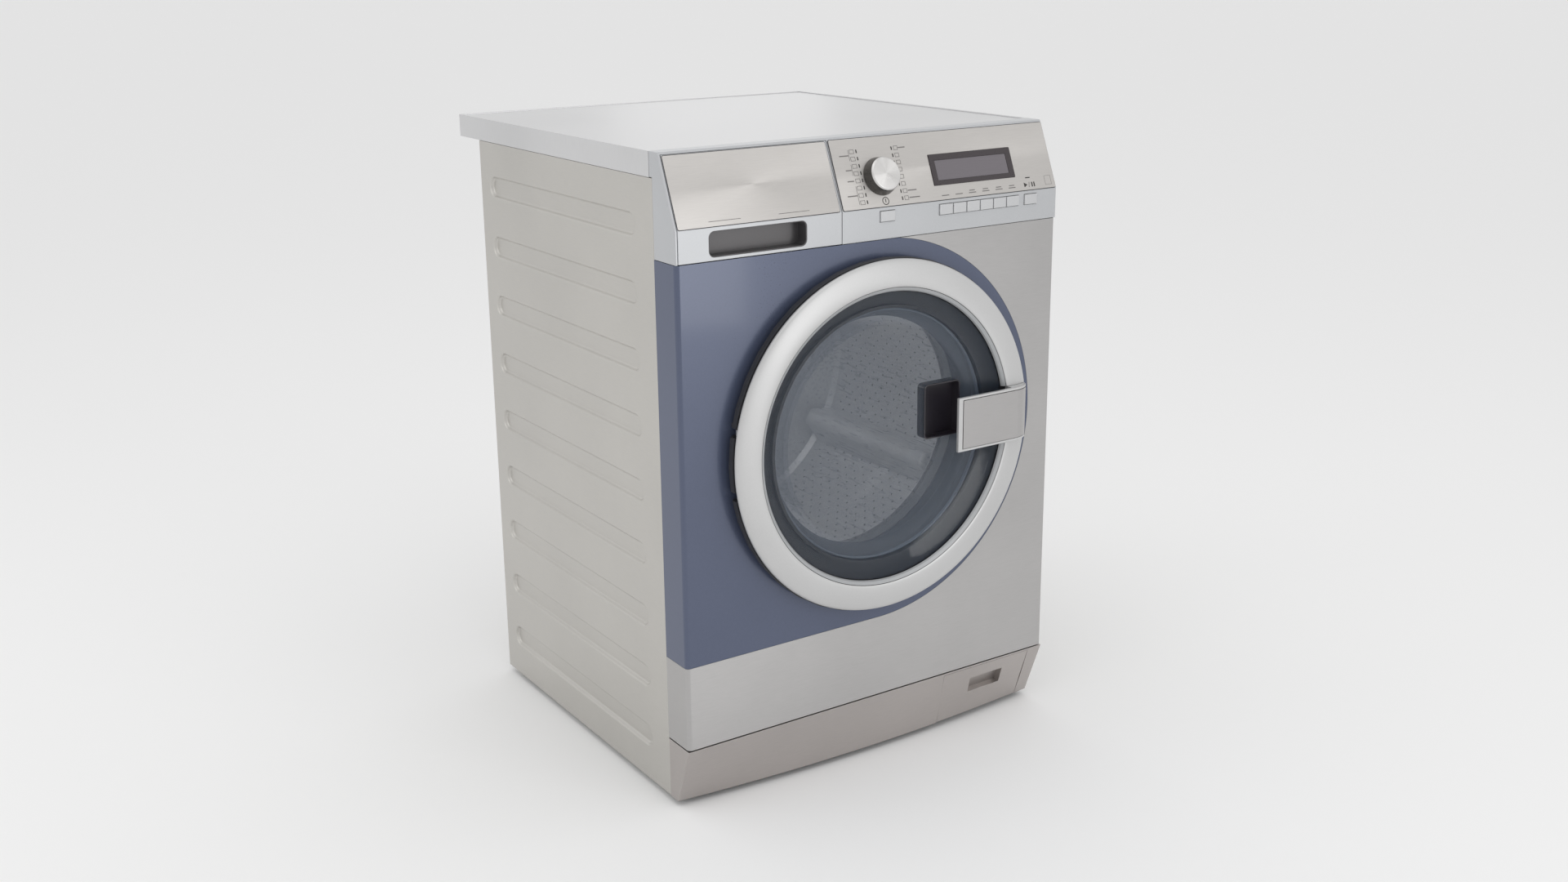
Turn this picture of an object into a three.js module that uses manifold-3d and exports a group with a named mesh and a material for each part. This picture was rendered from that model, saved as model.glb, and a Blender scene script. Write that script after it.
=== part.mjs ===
// A front-loading washing machine: stainless cabinet, glass porthole door on the left-hand hinge,
// detergent drawer, program knob and buttons, and the sprung tub, drum and belt drive inside.
// Millimetres, +Z up, the front faces -Y, the origin is the middle of the footprint on the floor.
import * as THREE from "three";
import { mergeVertices } from "three/addons/utils/BufferGeometryUtils.js";
import Module from "manifold-3d";

const wasm = await Module();
wasm.setup();

// ------------------------------------------------------------------ driving dimensions
// Every y below is measured back from the face of the front panel, every z up from the floor.
const width = 597;
const height = 850;
const depth = 660; // from the handle plate to the rear edge of the worktop
const handleReach = 41; // the handle plate stands this far in front of the front panel
const half = width / 2;
const worktopBack = depth - handleReach;

const gap = 0.3; // air between two pieces that touch
const sheet = 1.5; // steel sheet of the casing
const moulding = 2.5; // wall of the plastic mouldings

const skirtBottom = 8.3;
const plinthTop = 91;
const plinthSetBack = 31.5; // the plinth slopes back to here at the ends of its bottom edge
const plinthBow = 17; // and stands this much further forward in the middle
const controlBottom = 720.5;
const breakZ = 761.2; // where the upright control face turns into the sloped one
const slopeTop = 36.3; // how far back the sloped face has gone at the top
const controlBack = 57.3;
const worktopBottom = 818.6;
const sideFront = 51.5;
const sideBack = 552.7;
const drawerSplit = -57.7; // seam between the drawer and the controls

const doorZ = 464; // axis of the door, the tub and the drum
const blueRadius = 258;
const porthole = 176.5;
const tubRadius = 269;
const drumRadius = 240;

const hingeAxis = [-224, -15]; // x, y
const hingeHeights = [426, 508];
const handleAxis = [222, -19]; // x, y
const handleSpan = [430, 504];

const motorAxis = [90, 140]; // x, z
const pumpAxis = [197, 52]; // x, z
const beltPulley = 140;
const motorPulley = 11;

// ------------------------------------------------------------------ finishes
const finish = (color, roughness, metalness) =>
  new THREE.MeshStandardMaterial({ color, roughness, metalness });
const steel = finish(0xbfbab4, 0.35, 0.9);
const brushed = finish(0xb9b3ac, 0.4, 0.9);
const lacquer = finish(0x5f6b8a, 0.25, 0.2);
const silverPlastic = finish(0xcfd2d8, 0.4, 0.3);
const satinRing = finish(0xd8d7d4, 0.3, 0.5);
const darkPlastic = finish(0x3c3a3a, 0.55, 0);
const tinted = finish(0x3a4452, 0.1, 0);
const clearGlass = finish(0xa9b8c8, 0.05, 0);
const rubber = finish(0x8c9198, 0.8, 0);
const whitePlastic = finish(0xe6e6e2, 0.5, 0);
const concrete = finish(0x9a9a96, 0.9, 0);
const blackSteel = finish(0x2c2d30, 0.5, 0.7);

// ------------------------------------------------------------------ solids
// A closed geometry as a solid. A turned profile may be listed either way round.
function solid(geometry) {
  geometry.deleteAttribute("normal");
  geometry.deleteAttribute("uv");
  const welded = mergeVertices(geometry, 1e-4);
  const vertProperties = new Float32Array(welded.getAttribute("position").array);
  const faces = [];
  for (let i = 0; i < welded.index.count; i += 3) {
    const face = [0, 1, 2].map((k) => welded.index.getX(i + k));
    if (new Set(face).size === 3) faces.push(face);
  }
  const make = (corners) =>
    new wasm.Manifold(
      new wasm.Mesh({ numProp: 3, vertProperties, triVerts: new Uint32Array(corners.flat()) }),
    );
  const made = make(faces);
  return made.volume() > 0 ? made : make(faces.map(([a, b, c]) => [a, c, b]));
}

function box([x0, x1], [y0, y1], [z0, z1], matrix) {
  const geometry = new THREE.BoxGeometry(x1 - x0, y1 - y0, z1 - z0);
  geometry.translate((x0 + x1) / 2, (y0 + y1) / 2, (z0 + z1) / 2);
  return solid(matrix ? geometry.applyMatrix4(matrix) : geometry);
}

// An outline carried along an axis. The outline's own two axes are y, z or x, z or x, y.
const outlineAxes = {
  x: [[0, 1, 0], [0, 0, 1], [1, 0, 0]],
  y: [[1, 0, 0], [0, 0, 1], [0, -1, 0]],
  z: [[1, 0, 0], [0, 1, 0], [0, 0, 1]],
};
function prism(outline, axis, [from, to], curveSegments = 5) {
  const shape = Array.isArray(outline)
    ? new THREE.Shape(outline.map(([u, v]) => new THREE.Vector2(u, v)))
    : outline;
  const extrusion = { depth: to - from, bevelEnabled: false, curveSegments };
  const geometry = new THREE.ExtrudeGeometry(shape, extrusion);
  geometry.translate(0, 0, axis === "y" ? -to : from);
  const basis = outlineAxes[axis].map((v) => new THREE.Vector3(...v));
  return solid(geometry.applyMatrix4(new THREE.Matrix4().makeBasis(...basis)));
}

// A profile of [radius, y] turned about an axis that runs front to back.
function turned(profile, segments = 40, [x, z] = [0, doorZ]) {
  const points = profile.map(([r, y]) => new THREE.Vector2(r, y));
  if (profile[0][0] > 0) points.push(points[0].clone());
  return solid(new THREE.LatheGeometry(points, segments).translate(x, 0, z));
}

const drumAxisDisc = (radius, [y0, y1], segments, centre) =>
  turned([[0, y0], [radius, y0], [radius, y1], [0, y1]], segments, centre);

function post(radius, [x, y], [z0, z1], segments = 16) {
  const geometry = new THREE.CylinderGeometry(radius, radius, z1 - z0, segments);
  return solid(geometry.rotateX(Math.PI / 2).translate(x, y, (z0 + z1) / 2));
}

function roundedRectangle([u0, u1], [v0, v1], r) {
  const shape = new THREE.Shape();
  shape.absarc(u1 - r, v0 + r, r, -Math.PI / 2, 0);
  shape.absarc(u1 - r, v1 - r, r, 0, Math.PI / 2);
  shape.absarc(u0 + r, v1 - r, r, Math.PI / 2, Math.PI);
  shape.absarc(u0 + r, v0 + r, r, Math.PI, 1.5 * Math.PI);
  return shape;
}

const join = (first, ...rest) => rest.reduce((sum, piece) => sum.add(piece), first);
const cut = (body, ...tools) => tools.reduce((left, tool) => left.subtract(tool), body);
const grow = ([low, high], by) => [low - by, high + by];

// ------------------------------------------------------------------ assembly
const machine = new THREE.Group();
machine.name = "washing_machine";
machine.position.y = handleReach - depth / 2;

// The sloped control face: its own x, outward -Y and up-the-slope +Z.
const slopeAngle = Math.atan2(slopeTop, height - breakZ);
const slope = new THREE.Group();
slope.position.z = breakZ;
slope.rotation.x = -slopeAngle;
slope.updateMatrix();
machine.add(slope);

function add(name, body, material, group = machine) {
  const { vertProperties, triVerts } = body.getMesh();
  const geometry = new THREE.BufferGeometry();
  geometry.setAttribute("position", new THREE.BufferAttribute(vertProperties, 3));
  geometry.setIndex(new THREE.BufferAttribute(triVerts, 1));
  geometry.computeVertexNormals();
  const mesh = new THREE.Mesh(geometry, material);
  mesh.name = name;
  group.add(mesh);
  return mesh;
}

// ------------------------------------------------------------------ casing
const feetPlaces = [
  ["foot_front_left", -255, 85],
  ["foot_front_right", 255, 85],
  ["foot_rear_left", -255, 515],
  ["foot_rear_right", 255, 515],
];
const damperX = 150;
const damperY = 190;
const springX = 215;
const springY = 360;
const springSpan = [680.3, 800];

function baseTray() {
  const floorTop = 12.6;
  const tray = cut(
    box([-291.5, 291.5], [53.3, 549], [10.1, 45]),
    box([-289, 289], [55.8, 546.5], [floorTop, 46]),
  );
  const bosses = feetPlaces.map(([, x, y]) => post(12, [x, y], [floorTop - 1, 30], 12));
  const towers = [-1, 1].map((side) =>
    box(grow([side * damperX, side * damperX], 12), grow([damperY, damperY], 12), [floorTop - 1, 40]));
  const saddle = box(grow([pumpAxis[0], pumpAxis[0]], 20), [70, 110], [floorTop - 1, 30]);
  const studHoles = feetPlaces.map(([, x, y]) => post(5.4, [x, y], [9, 31], 10));
  return cut(
    join(tray, ...bosses, ...towers, saddle),
    ...studHoles,
    drumAxisDisc(34.3, [40, 180], 28, pumpAxis),
  );
}

// Nine long grooves pressed into the side sheet, evenly spaced from top to bottom.
const ribs = { count: 9, top: 756.6, pitch: 85.6, high: 30, span: [97, 522], deep: 4.5 };

function sidePanel() {
  const tall = [skirtBottom, worktopBottom - gap];
  const long = [sideFront, sideBack];
  const skin = [half - sheet, half];
  let panel = join(
    box(skin, long, tall),
    box([283, half - 1], [sideFront, sideFront + sheet], tall),
    box([283, half - 1], [sideBack - sheet, sideBack], tall),
    box([275, half - 1], long, [tall[1] - sheet, tall[1]]),
    box([275, half - 1], long, [tall[0], tall[0] + sheet]),
    box([springX - 12, half - 1], grow([springY, springY], 8), [springSpan[1] + gap, 806]),
  );
  for (let i = 0; i < ribs.count; i++) {
    const z = ribs.top - i * ribs.pitch;
    const high = [z - ribs.high / 2, z + ribs.high / 2];
    const wall = prism(roundedRectangle(ribs.span, high, ribs.high / 2 - 0.1), "x",
      [half - ribs.deep - sheet, half - 1], 2);
    const groove = prism(roundedRectangle(grow(ribs.span, -sheet), grow(high, -sheet), ribs.high / 2 - 1.6),
      "x", [half - ribs.deep, half + 1], 2);
    panel = cut(panel.add(wall), groove);
  }
  return panel;
}

const inletPlace = [205, 770];
const cablePlace = [-215, 745];

function rearPanel() {
  const front = sideBack + gap;
  const plain = box([-297, 297], [front, front + sheet], [20, worktopBottom - gap]);
  const cableGland = drumAxisDisc(12, [front, 566], 20, cablePlace);
  return cut(plain.add(cableGland), drumAxisDisc(14, [540, 570], 20, inletPlace));
}

// A steel tray turned upside down, with a low rim left proud around its top.
function worktop() {
  const rim = 6.5;
  const skin = 2;
  const front = controlBack + gap;
  return cut(
    box([-half, half], [front, worktopBack], [worktopBottom, height]),
    box([-half + rim, half - rim], [0, worktopBack - rim], [height - skin, height + 1]),
    box([-half + skin, half - skin], [front + skin, worktopBack - skin], [0, height - 2 * skin]),
  );
}

// The front sheet with its rounded upright edges and its returns down both sides.
function frontSheet() {
  const corner = 6;
  const back = sideFront - gap;
  const lip = 283;
  const shape = new THREE.Shape();
  shape.moveTo(-lip, back);
  shape.lineTo(-half, back);
  shape.absarc(-half + corner, corner, corner, Math.PI, 1.5 * Math.PI);
  shape.absarc(half - corner, corner, corner, 1.5 * Math.PI, 2 * Math.PI);
  shape.lineTo(half, back);
  shape.lineTo(lip, back);
  shape.lineTo(lip, back - sheet);
  shape.lineTo(half - sheet, back - sheet);
  shape.absarc(half - corner, corner, corner - sheet, 2 * Math.PI, 1.5 * Math.PI, true);
  shape.absarc(-half + corner, corner, corner - sheet, 1.5 * Math.PI, Math.PI, true);
  shape.lineTo(-half + sheet, back - sheet);
  shape.lineTo(-lip, back - sheet);
  return prism(shape, "z", [plinthTop + gap, controlBottom - gap], 4);
}

// The blue field: the left side of the front, and a round end that follows the door.
function blueField(radius) {
  const bottom = doorZ - radius;
  const shape = new THREE.Shape();
  shape.moveTo(-half - 5, bottom);
  shape.lineTo(0, bottom);
  shape.absarc(0, doorZ, radius, -Math.PI / 2, Math.PI / 2);
  shape.lineTo(0, controlBottom + 5);
  shape.lineTo(-half - 5, controlBottom + 5);
  return prism(shape, "y", [-5, sideFront + 5], 20);
}

const latchSlot = { x: [194, 220], z: [452, 476] };

function bluePanel() {
  const armHoles = hingeHeights.map((z) => box([-206.5, -197.5], [-5, 5], grow([z, z], 4.5)));
  return cut(
    frontSheet().intersect(blueField(blueRadius)),
    drumAxisDisc(porthole, [-5, 10], 48),
    box(latchSlot.x, [-5, 5], latchSlot.z),
    ...armHoles,
  );
}

// How far back the plinth's face is at a place, or a surface set in behind it. The top edge is
// straight and the bottom edge is bowed forward.
function plinthY(x, z, inset = 0) {
  const lean = (plinthSetBack - plinthBow * (1 - (x / half) ** 2)) / (plinthTop - skirtBottom);
  return (plinthTop - z) * lean + inset * Math.hypot(1, lean);
}

const flapSpan = [119, 274.5];

// A block whose front and back faces are given as depths at each x and z.
function bowed([x0, x1], [z0, z1], front, back) {
  const slices = Math.ceil((x1 - x0) / 40);
  const geometry = new THREE.BoxGeometry(x1 - x0, 2, z1 - z0, slices, 1, 1);
  geometry.translate((x0 + x1) / 2, 0, (z0 + z1) / 2);
  const place = geometry.getAttribute("position");
  for (let i = 0; i < place.count; i++) {
    const face = place.getY(i) < 0 ? front : back;
    place.setY(i, face(place.getX(i), place.getZ(i)));
  }
  return solid(geometry);
}

const plinthFace = (inset) => (x, z) => plinthY(x, z, inset);
const upright = (y) => () => y;

function plinth() {
  const top = plinthTop - gap;
  const ceiling = top - moulding;
  const shell = bowed([-half, half], [skirtBottom, top], plinthFace(0), upright(sideFront - 2 * gap));
  const hollow = bowed([-half + moulding, half - moulding], [0, ceiling], plinthFace(moulding), upright(60));
  return cut(shell, hollow, box(grow(flapSpan, gap), [-5, 48], [0, ceiling - gap]));
}

function filterFlap() {
  return cut(
    join(
      bowed(flapSpan, [9, 87.5], plinthFace(0), plinthFace(2.5)),
      bowed([168, 232], [44, 71], plinthFace(2), plinthFace(12.5)),
    ),
    bowed([170, 230], [46, 69], plinthFace(-3), plinthFace(10.5)),
  );
}

for (const [name, side] of [["side_panel_left", -1], ["side_panel_right", 1]]) {
  add(name, sidePanel(), steel).scale.x = side;
}
add("base_tray", baseTray(), whitePlastic);
add("rear_panel", rearPanel(), steel);
add("worktop", worktop(), steel);
add("front_panel", cut(frontSheet(), blueField(blueRadius + gap)), brushed);
add("front_panel_blue", bluePanel(), lacquer);
add("plinth", plinth(), brushed);
add("filter_flap", filterFlap(), brushed);
for (const [name, x, y] of feetPlaces) {
  add(name, join(post(20, [x, y], [0, 8], 20), post(5, [x, y], [7, 38], 10)), rubber);
}

// ------------------------------------------------------------------ controls
const buttonZ = [743, 757];
const optionButtons = 6;
const optionSpan = [96, 232];
const optionPitch = (optionSpan[1] - optionSpan[0]) / optionButtons;
const buttons = [["power_button", [0.5, 24]], ["start_button", [241, 263]]];
for (let i = 0; i < optionButtons; i++) {
  const left = optionSpan[0] + i * optionPitch;
  buttons.push([`option_button_${i + 1}`, [left, left + optionPitch - 0.8]]);
}
const knobPlace = [10.5, 40]; // x, distance up the slope
const displaySpan = { x: [93, 230], up: [20.5, 61.5] };
const windowSpan = { x: [101, 221], up: [26.5, 53.5] };

// A shape turned about an outward axis of the sloped face, at a place on that face.
const knobTurned = (profile, segments) => turned(profile, segments, knobPlace);

function controlPanel() {
  const lean = Math.tan(slopeAngle);
  const innerY = moulding / Math.cos(slopeAngle);
  const ceiling = height - moulding;
  const floor = controlBottom + moulding;
  const sideEdge = sideFront - gap;
  const shell = prism([[0, controlBottom], [0, breakZ], [slopeTop, height], [controlBack, height],
    [controlBack, worktopBottom + gap], [sideEdge, worktopBottom + gap], [sideEdge, controlBottom]],
  "x", [-half, half]);
  const hollowOutline = [
    [moulding, floor],
    [moulding, breakZ + (moulding - innerY) / lean],
    [innerY + (ceiling - breakZ) * lean, ceiling],
    [60, ceiling],
    [60, floor],
  ];
  const knobHole = new THREE.CylinderGeometry(5, 5, 20, 16);
  knobHole.translate(knobPlace[0], 0, knobPlace[1]).applyMatrix4(slope.matrix);
  return cut(
    shell,
    prism(hollowOutline, "x", [-half + moulding, drawerSplit]),
    prism(hollowOutline, "x", [drawerSplit + moulding, half - moulding]),
    box([-295.7, drawerSplit], [-5, 48], [715, ceiling - gap]),
    solid(knobHole),
    ...buttons.map(([, x]) => box(grow(x, 0.35), [-5, 5], grow(buttonZ, 0.4))),
  );
}

function controlFascia() {
  return cut(
    box([-56, 297], [-1.1, -0.3], [1, 92]),
    box(grow(displaySpan.x, gap), [-5, 5], grow(displaySpan.up, gap)),
    knobTurned([[0, -5], [5, -5], [5, 5], [0, 5]], 16),
  );
}

function display() {
  return cut(
    box(displaySpan.x, [-2.2, -0.3], displaySpan.up),
    box(windowSpan.x, [-3, -1.3], windowSpan.up),
  );
}

function button(x) {
  return join(box(x, [-2.2, 5.5], buttonZ), box(x, [2.9, 5.5], grow(buttonZ, 2)));
}

add("control_panel", controlPanel(), silverPlastic);
add("control_fascia", controlFascia(), brushed, slope);
add("display", display(), darkPlastic, slope);
add("program_knob",
  knobTurned([[0, -17], [20.5, -17], [22, -15.5], [25, -1.5], [4, -1.5], [4, 14], [0, 14]], 32),
  satinRing, slope);
for (const [name, x] of buttons) add(name, button(x), silverPlastic);

// ------------------------------------------------------------------ detergent drawer
const drawerSpan = [-294.7, drawerSplit - 0.6];

function drawerFront() {
  const lean = Math.tan(slopeAngle);
  const thick = 8;
  const top = 846.8;
  const bottom = controlBottom + 0.5;
  const slopeY = (z) => (z - breakZ) * lean;
  const backBreak = breakZ - 1.6;
  const front = prism([[0, bottom], [0, breakZ], [slopeY(top), top], [slopeY(top) + thick + 0.6, top],
    [thick, backBreak], [thick, bottom]], "x", drawerSpan);
  const recess = roundedRectangle([-252.5, -111], [725, 757], 8);
  const recessWall = roundedRectangle([-254.5, -109], [723, 759], 9);
  return cut(front.add(prism(recessWall, "y", [1, 22])), prism(recess, "y", [-1, 20]));
}

function drawerTray() {
  const tray = box([-281, -70], [24, 310], [752, 798]);
  const compartments = [[-279, -212], [-210, -142], [-140, -72]];
  return cut(tray, ...compartments.map((x) => box(x, [28, 308], [754, 799])));
}

function dispenserHousing() {
  return cut(
    box([-289, -64], [60, 325], [746, 816.5]),
    box([-287, -66], [50, 323], [748, 810]),
  );
}

add("drawer_front", drawerFront(), silverPlastic);
add("drawer_plate", box([-294, -61.5], [-1.1, -0.3], [1, 91]), brushed, slope);
add("drawer_tray", drawerTray(), whitePlastic);
add("dispenser_housing", dispenserHousing(), whitePlastic);

// ------------------------------------------------------------------ door
function doorRing() {
  const ring = turned([[235, -17.3], [233, -21.5], [225, -26], [211, -28], [198, -27], [194.5, -24.5],
    [193.2, -21.6], [197, -21.6], [211, -25], [223, -23], [230, -19.5], [231.5, -17.3]]);
  return cut(
    ring,
    box([188, 240], [-40, -10], grow(handleSpan, gap)),
    box([-236, -214], [-19.7, -10], [411, 523]),
  );
}

function doorFrame() {
  const frame = turned([[236.5, -16.8], [236.5, -9], [229, -2], [170, -2], [170, -11.5], [174, -11.5],
    [174, -5], [227, -5], [233.5, -10.5], [233.5, -16.8]]);
  const sweepOfArms = hingeHeights.map((z) => box([-241, -186], [-20, 0], grow([z, z], 6)));
  const lugs = hingeHeights.flatMap((z) =>
    [[z - 11, z - 6.3], [z + 6.3, z + 11]].map((span) => box([-228, -220], [-19, -4], span)));
  const cradles = [[426, 429.4], [504.6, 508]].map((span) => box([217, 227], [-16.7, -4], span));
  return cut(
    join(cut(frame, ...sweepOfArms), ...lugs, ...cradles),
    post(2.5, hingeAxis, [400, 530]),
    box([192, 220], [-8, 0], [455, 473]),
  );
}

const pocketSpan = { x: [66, 126], z: [447, 522] };

function doorCover() {
  const cover = turned([[0, -12], [160, -12], [190, -20.5], [192.4, -20.5], [192.4, -17.5], [189, -17.5],
    [160, -9], [0, -9]], 40);
  const hole = roundedRectangle(grow(pocketSpan.x, gap), grow(pocketSpan.z, gap), 6);
  return cut(cover, prism(hole, "y", [-20, 0], 3));
}

function handlePocket() {
  const outer = roundedRectangle(pocketSpan.x, pocketSpan.z, 6);
  const inner = roundedRectangle(grow(pocketSpan.x, -2), grow(pocketSpan.z, -2), 4);
  return cut(prism(outer, "y", [-12.8, 10], 3), prism(inner, "y", [-20, 8], 3));
}

const bowlProfile = [[0, 94], [99, 92], [124, 88], [133, 78], [145.5, -5], [168, -5], [168, -1],
  [150.5, -1], [138, 80], [128, 92], [100, 97], [0, 99]];

function doorHandle() {
  const plate = prism([[102, -41], [203, -41], [217, -38], [226, -32], [229.5, -25], [229.5, -19.5],
    [197, -22], [197, -36], [102, -36]], "z", handleSpan);
  const trunnions = post(2, handleAxis, grow(handleSpan, 3.2), 12);
  const hook = join(box([206, 211], [-25, 13], [459, 469]), box([206, 216], [9, 13], [459, 469]));
  return join(plate, trunnions, hook);
}

function hingeBracket() {
  const arms = hingeHeights.map((z) => {
    const span = grow([z, z], 4);
    return join(
      box([-206, -198], [-17, 3], span),
      box([hingeAxis[0], -198], [-17, -12], span),
      post(4.2, hingeAxis, span),
    );
  });
  return cut(
    join(box([-216, -190], [1.8, 4.8], [415, 519]), ...arms),
    post(2.5, hingeAxis, [400, 530]),
  );
}

function doorLock() {
  return cut(
    box([190, 228], [sheet + gap, 26], [425, 505]),
    box(latchSlot.x, [0, 20], latchSlot.z),
  );
}

add("door_ring", doorRing(), satinRing);
add("door_frame", doorFrame(), darkPlastic);
add("door_cover", doorCover(), tinted);
add("handle_pocket", handlePocket(), darkPlastic);
add("door_glass", turned(bowlProfile, 32), clearGlass);
add("hinge_pin", post(2.2, hingeAxis, [415.5, 518.5], 12), steel);
add("hinge_bracket", hingeBracket(), steel);
add("door_handle", doorHandle(), brushed);
add("door_lock", doorLock(), whitePlastic);

// ------------------------------------------------------------------ tub and its suspension
// The bellows joins the porthole to the tub, with one fold and a lip that the glass closes on.
const gasketProfile = [[186, 1.8], [186, 5], [180, 6], [180, 20], [190, 28], [190, 36], [178, 42],
  [178, 58], [174, 58], [174, 39], [186, 34], [186, 30], [176, 22.5], [154, 22.5], [154, 18.5],
  [174, 18.5], [174, 1.8]];
const tubFrontY = [58.3, 70, 75];
const tubSplit = 250;
const tubBack = [446, 452];
const tubHole = drumAxisDisc(tubRadius - 2, [0, 500], 36);

function tubFront() {
  const wall = tubRadius - 4;
  const shell = turned([[174, tubFrontY[0]], [178, tubFrontY[0]], [178, tubFrontY[1]],
    [tubRadius, tubFrontY[1]], [tubRadius, tubSplit], [wall, tubSplit], [wall, tubFrontY[2]],
    [174, tubFrontY[2]]], 36);
  const damperLugs = [-1, 1].map((side) =>
    cut(box(grow([side * damperX, side * damperX], 10), grow([damperY, damperY], 10), [228, 262]), tubHole));
  return join(shell, ...damperLugs);
}

const bearing = { bore: 16.3, radius: 31, front: [442, 458], rear: [474, 490] };

function tubRear() {
  const wall = tubRadius - 4;
  const seat = bearing.radius + gap;
  const shell = turned([[tubRadius, tubSplit + gap], [tubRadius, tubBack[1]], [50, tubBack[1]], [50, 492],
    [seat, 492], [seat, bearing.rear[0] - gap], [25, bearing.rear[0] - gap],
    [25, bearing.front[1] + gap], [seat, bearing.front[1] + gap], [seat, 440], [50, 440],
    [50, tubBack[0]], [wall, tubBack[0]], [wall, tubSplit + gap]], 36);
  const springLugs = [-1, 1].map((side) =>
    cut(box(grow([side * springX, side * springX], 10), grow([springY, springY], 8),
      [600, springSpan[0] - gap]), tubHole));
  const heaterHoles = [-1, 1].map((side) => drumAxisDisc(4, [430, 460], 12, [side * 30, 212]));
  return cut(join(shell, ...springLugs), ...heaterHoles);
}

function frontWeight() {
  const shape = new THREE.Shape();
  const [from, to] = [200, 340].map(THREE.MathUtils.degToRad);
  shape.absarc(0, doorZ, 258, from, to);
  shape.absarc(0, doorZ, 205, to, from, true);
  return prism(shape, "y", [30, tubFrontY[1] - gap], 14);
}

function heater() {
  const rods = [-1, 1].map((side) => drumAxisDisc(3.5, [200, 466], 10, [side * 30, 212]));
  return join(
    ...rods,
    box([-33, 33], [197, 204], [208.7, 215.3]),
    box([-40, 40], [tubBack[1] + gap, 456], [203, 221]),
  );
}

const bearingRing = ([y0, y1]) =>
  turned([[bearing.bore, y0], [bearing.radius, y0], [bearing.radius, y1], [bearing.bore, y1]], 28);

function damperCylinder(x) {
  return cut(post(14, [x, damperY], [40.3, 150]), post(6.5, [x, damperY], [92, 151]));
}

function suspensionSpring(x) {
  return cut(post(11, [x, springY], springSpan), post(8, [x, springY], grow(springSpan, 1)));
}

add("door_gasket", turned(gasketProfile, 32), rubber);
add("tub_front", tubFront(), whitePlastic);
add("tub_rear", tubRear(), whitePlastic);
add("counterweight", frontWeight(), concrete);
add("heater", heater(), steel);
add("bearing_front", bearingRing(bearing.front), steel);
add("bearing_rear", bearingRing(bearing.rear), steel);
for (const [name, side] of [["left", -1], ["right", 1]]) {
  add(`damper_cylinder_${name}`, damperCylinder(side * damperX), blackSteel);
  add(`damper_rod_${name}`, post(6, [side * damperX, damperY], [110, 228 - gap], 12), steel);
  add(`spring_${name}`, suspensionSpring(side * springX), blackSteel);
}

// ------------------------------------------------------------------ drum and drive
function drum() {
  const [front, back] = [80, 428];
  const skin = 1.2;
  const wall = drumRadius - skin;
  const shell = turned([[172, front], [drumRadius, front], [drumRadius, back], [20, back],
    [20, back - skin], [wall, back - skin], [wall, front + skin], [172, front + skin]], 36);
  const lifters = [0, 1, 2].map((i) => {
    const around = THREE.MathUtils.degToRad(90 + i * 120);
    const at = (radius, aside) => [
      radius * Math.cos(around) - aside * Math.sin(around),
      doorZ + radius * Math.sin(around) + aside * Math.cos(around),
    ];
    const outside = [at(wall - 1.4, -30), at(wall + 0.4, 0), at(wall - 1.4, 30), at(182, 9), at(182, -9)];
    const inside = [at(wall - 3, -26), at(wall - 3, 26), at(184, 7.5), at(184, -7.5)];
    return cut(prism(outside, "y", [96, 412]), prism(inside, "y", [90, 420]));
  });
  return join(shell, ...lifters);
}

function drumSpider() {
  const hub = turned([[0, 428.3], [36, 428.3], [36, 438], [16, 438], [16, 524], [0, 524]], 28);
  const arms = [0, 1, 2].map((i) => {
    const turn = new THREE.Matrix4().makeTranslation(0, 0, doorZ);
    turn.multiply(new THREE.Matrix4().makeRotationY(THREE.MathUtils.degToRad(i * 120 + 90)));
    return box([20, 226], [428.3, 438], [-16, 16], turn);
  });
  return join(hub, ...arms);
}

const drumPulleyProfile = [[16.3, 505], [134, 505], [134, 500], [beltPulley, 500], [beltPulley, 516],
  [134, 516], [134, 511], [16.3, 511]];

// The belt runs round both pulleys and straight along their two outer tangents.
function beltLoop(large, small) {
  const along = Math.atan2(motorAxis[1] - doorZ, motorAxis[0]);
  const distance = Math.hypot(motorAxis[0], motorAxis[1] - doorZ);
  const aside = Math.acos((large - small) / distance);
  const shape = new THREE.Shape();
  shape.absarc(0, doorZ, large, along + aside, along - aside + 2 * Math.PI);
  shape.absarc(motorAxis[0], motorAxis[1], small, along - aside, along + aside);
  return shape;
}

function driveBelt() {
  const inner = beltLoop(beltPulley + 2 * gap, motorPulley + 2 * gap);
  const outer = beltLoop(beltPulley + 3.5, motorPulley + 3.5);
  return cut(prism(outer, "y", [501, 515], 16), prism(inner, "y", [490, 520], 16));
}

function motor() {
  const housing = turned([[0, 340], [58, 340], [58, 455], [20, 455], [20, 462], [6.5, 462], [6.5, 410],
    [0, 410]], 28, motorAxis);
  const bracket = box([60, 120], [350, 430], [185, 230]);
  return housing.add(cut(bracket, drumAxisDisc(tubRadius + gap, [300, 480], 36)));
}

const motorPulleyProfile = [[0, 411], [6, 411], [6, 499], [motorPulley, 499], [motorPulley, 517], [0, 517]];

add("drum", drum(), steel);
add("drum_spider", drumSpider(), steel);
add("drum_pulley", turned(drumPulleyProfile, 32), blackSteel);
add("drive_belt", driveBelt(), rubber);
add("motor", motor(), blackSteel);
add("motor_pulley", turned(motorPulleyProfile, 14, motorAxis), steel);

// ------------------------------------------------------------------ water in, water out
const pumpProfile = [[0, 118], [28.6, 118], [28.6, 44], [34, 44], [34, 125], [27, 125], [27, 175],
  [0, 175]];

function filterCap() {
  const cap = turned([[0, 38], [33, 38], [33, 43.6], [28.2, 43.6], [28.2, 66], [0, 66]], 28, pumpAxis);
  const grip = box(grow([pumpAxis[0], pumpAxis[0]], 4), [33, 39], grow([pumpAxis[1], pumpAxis[1]], 25));
  return cap.add(grip);
}

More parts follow.
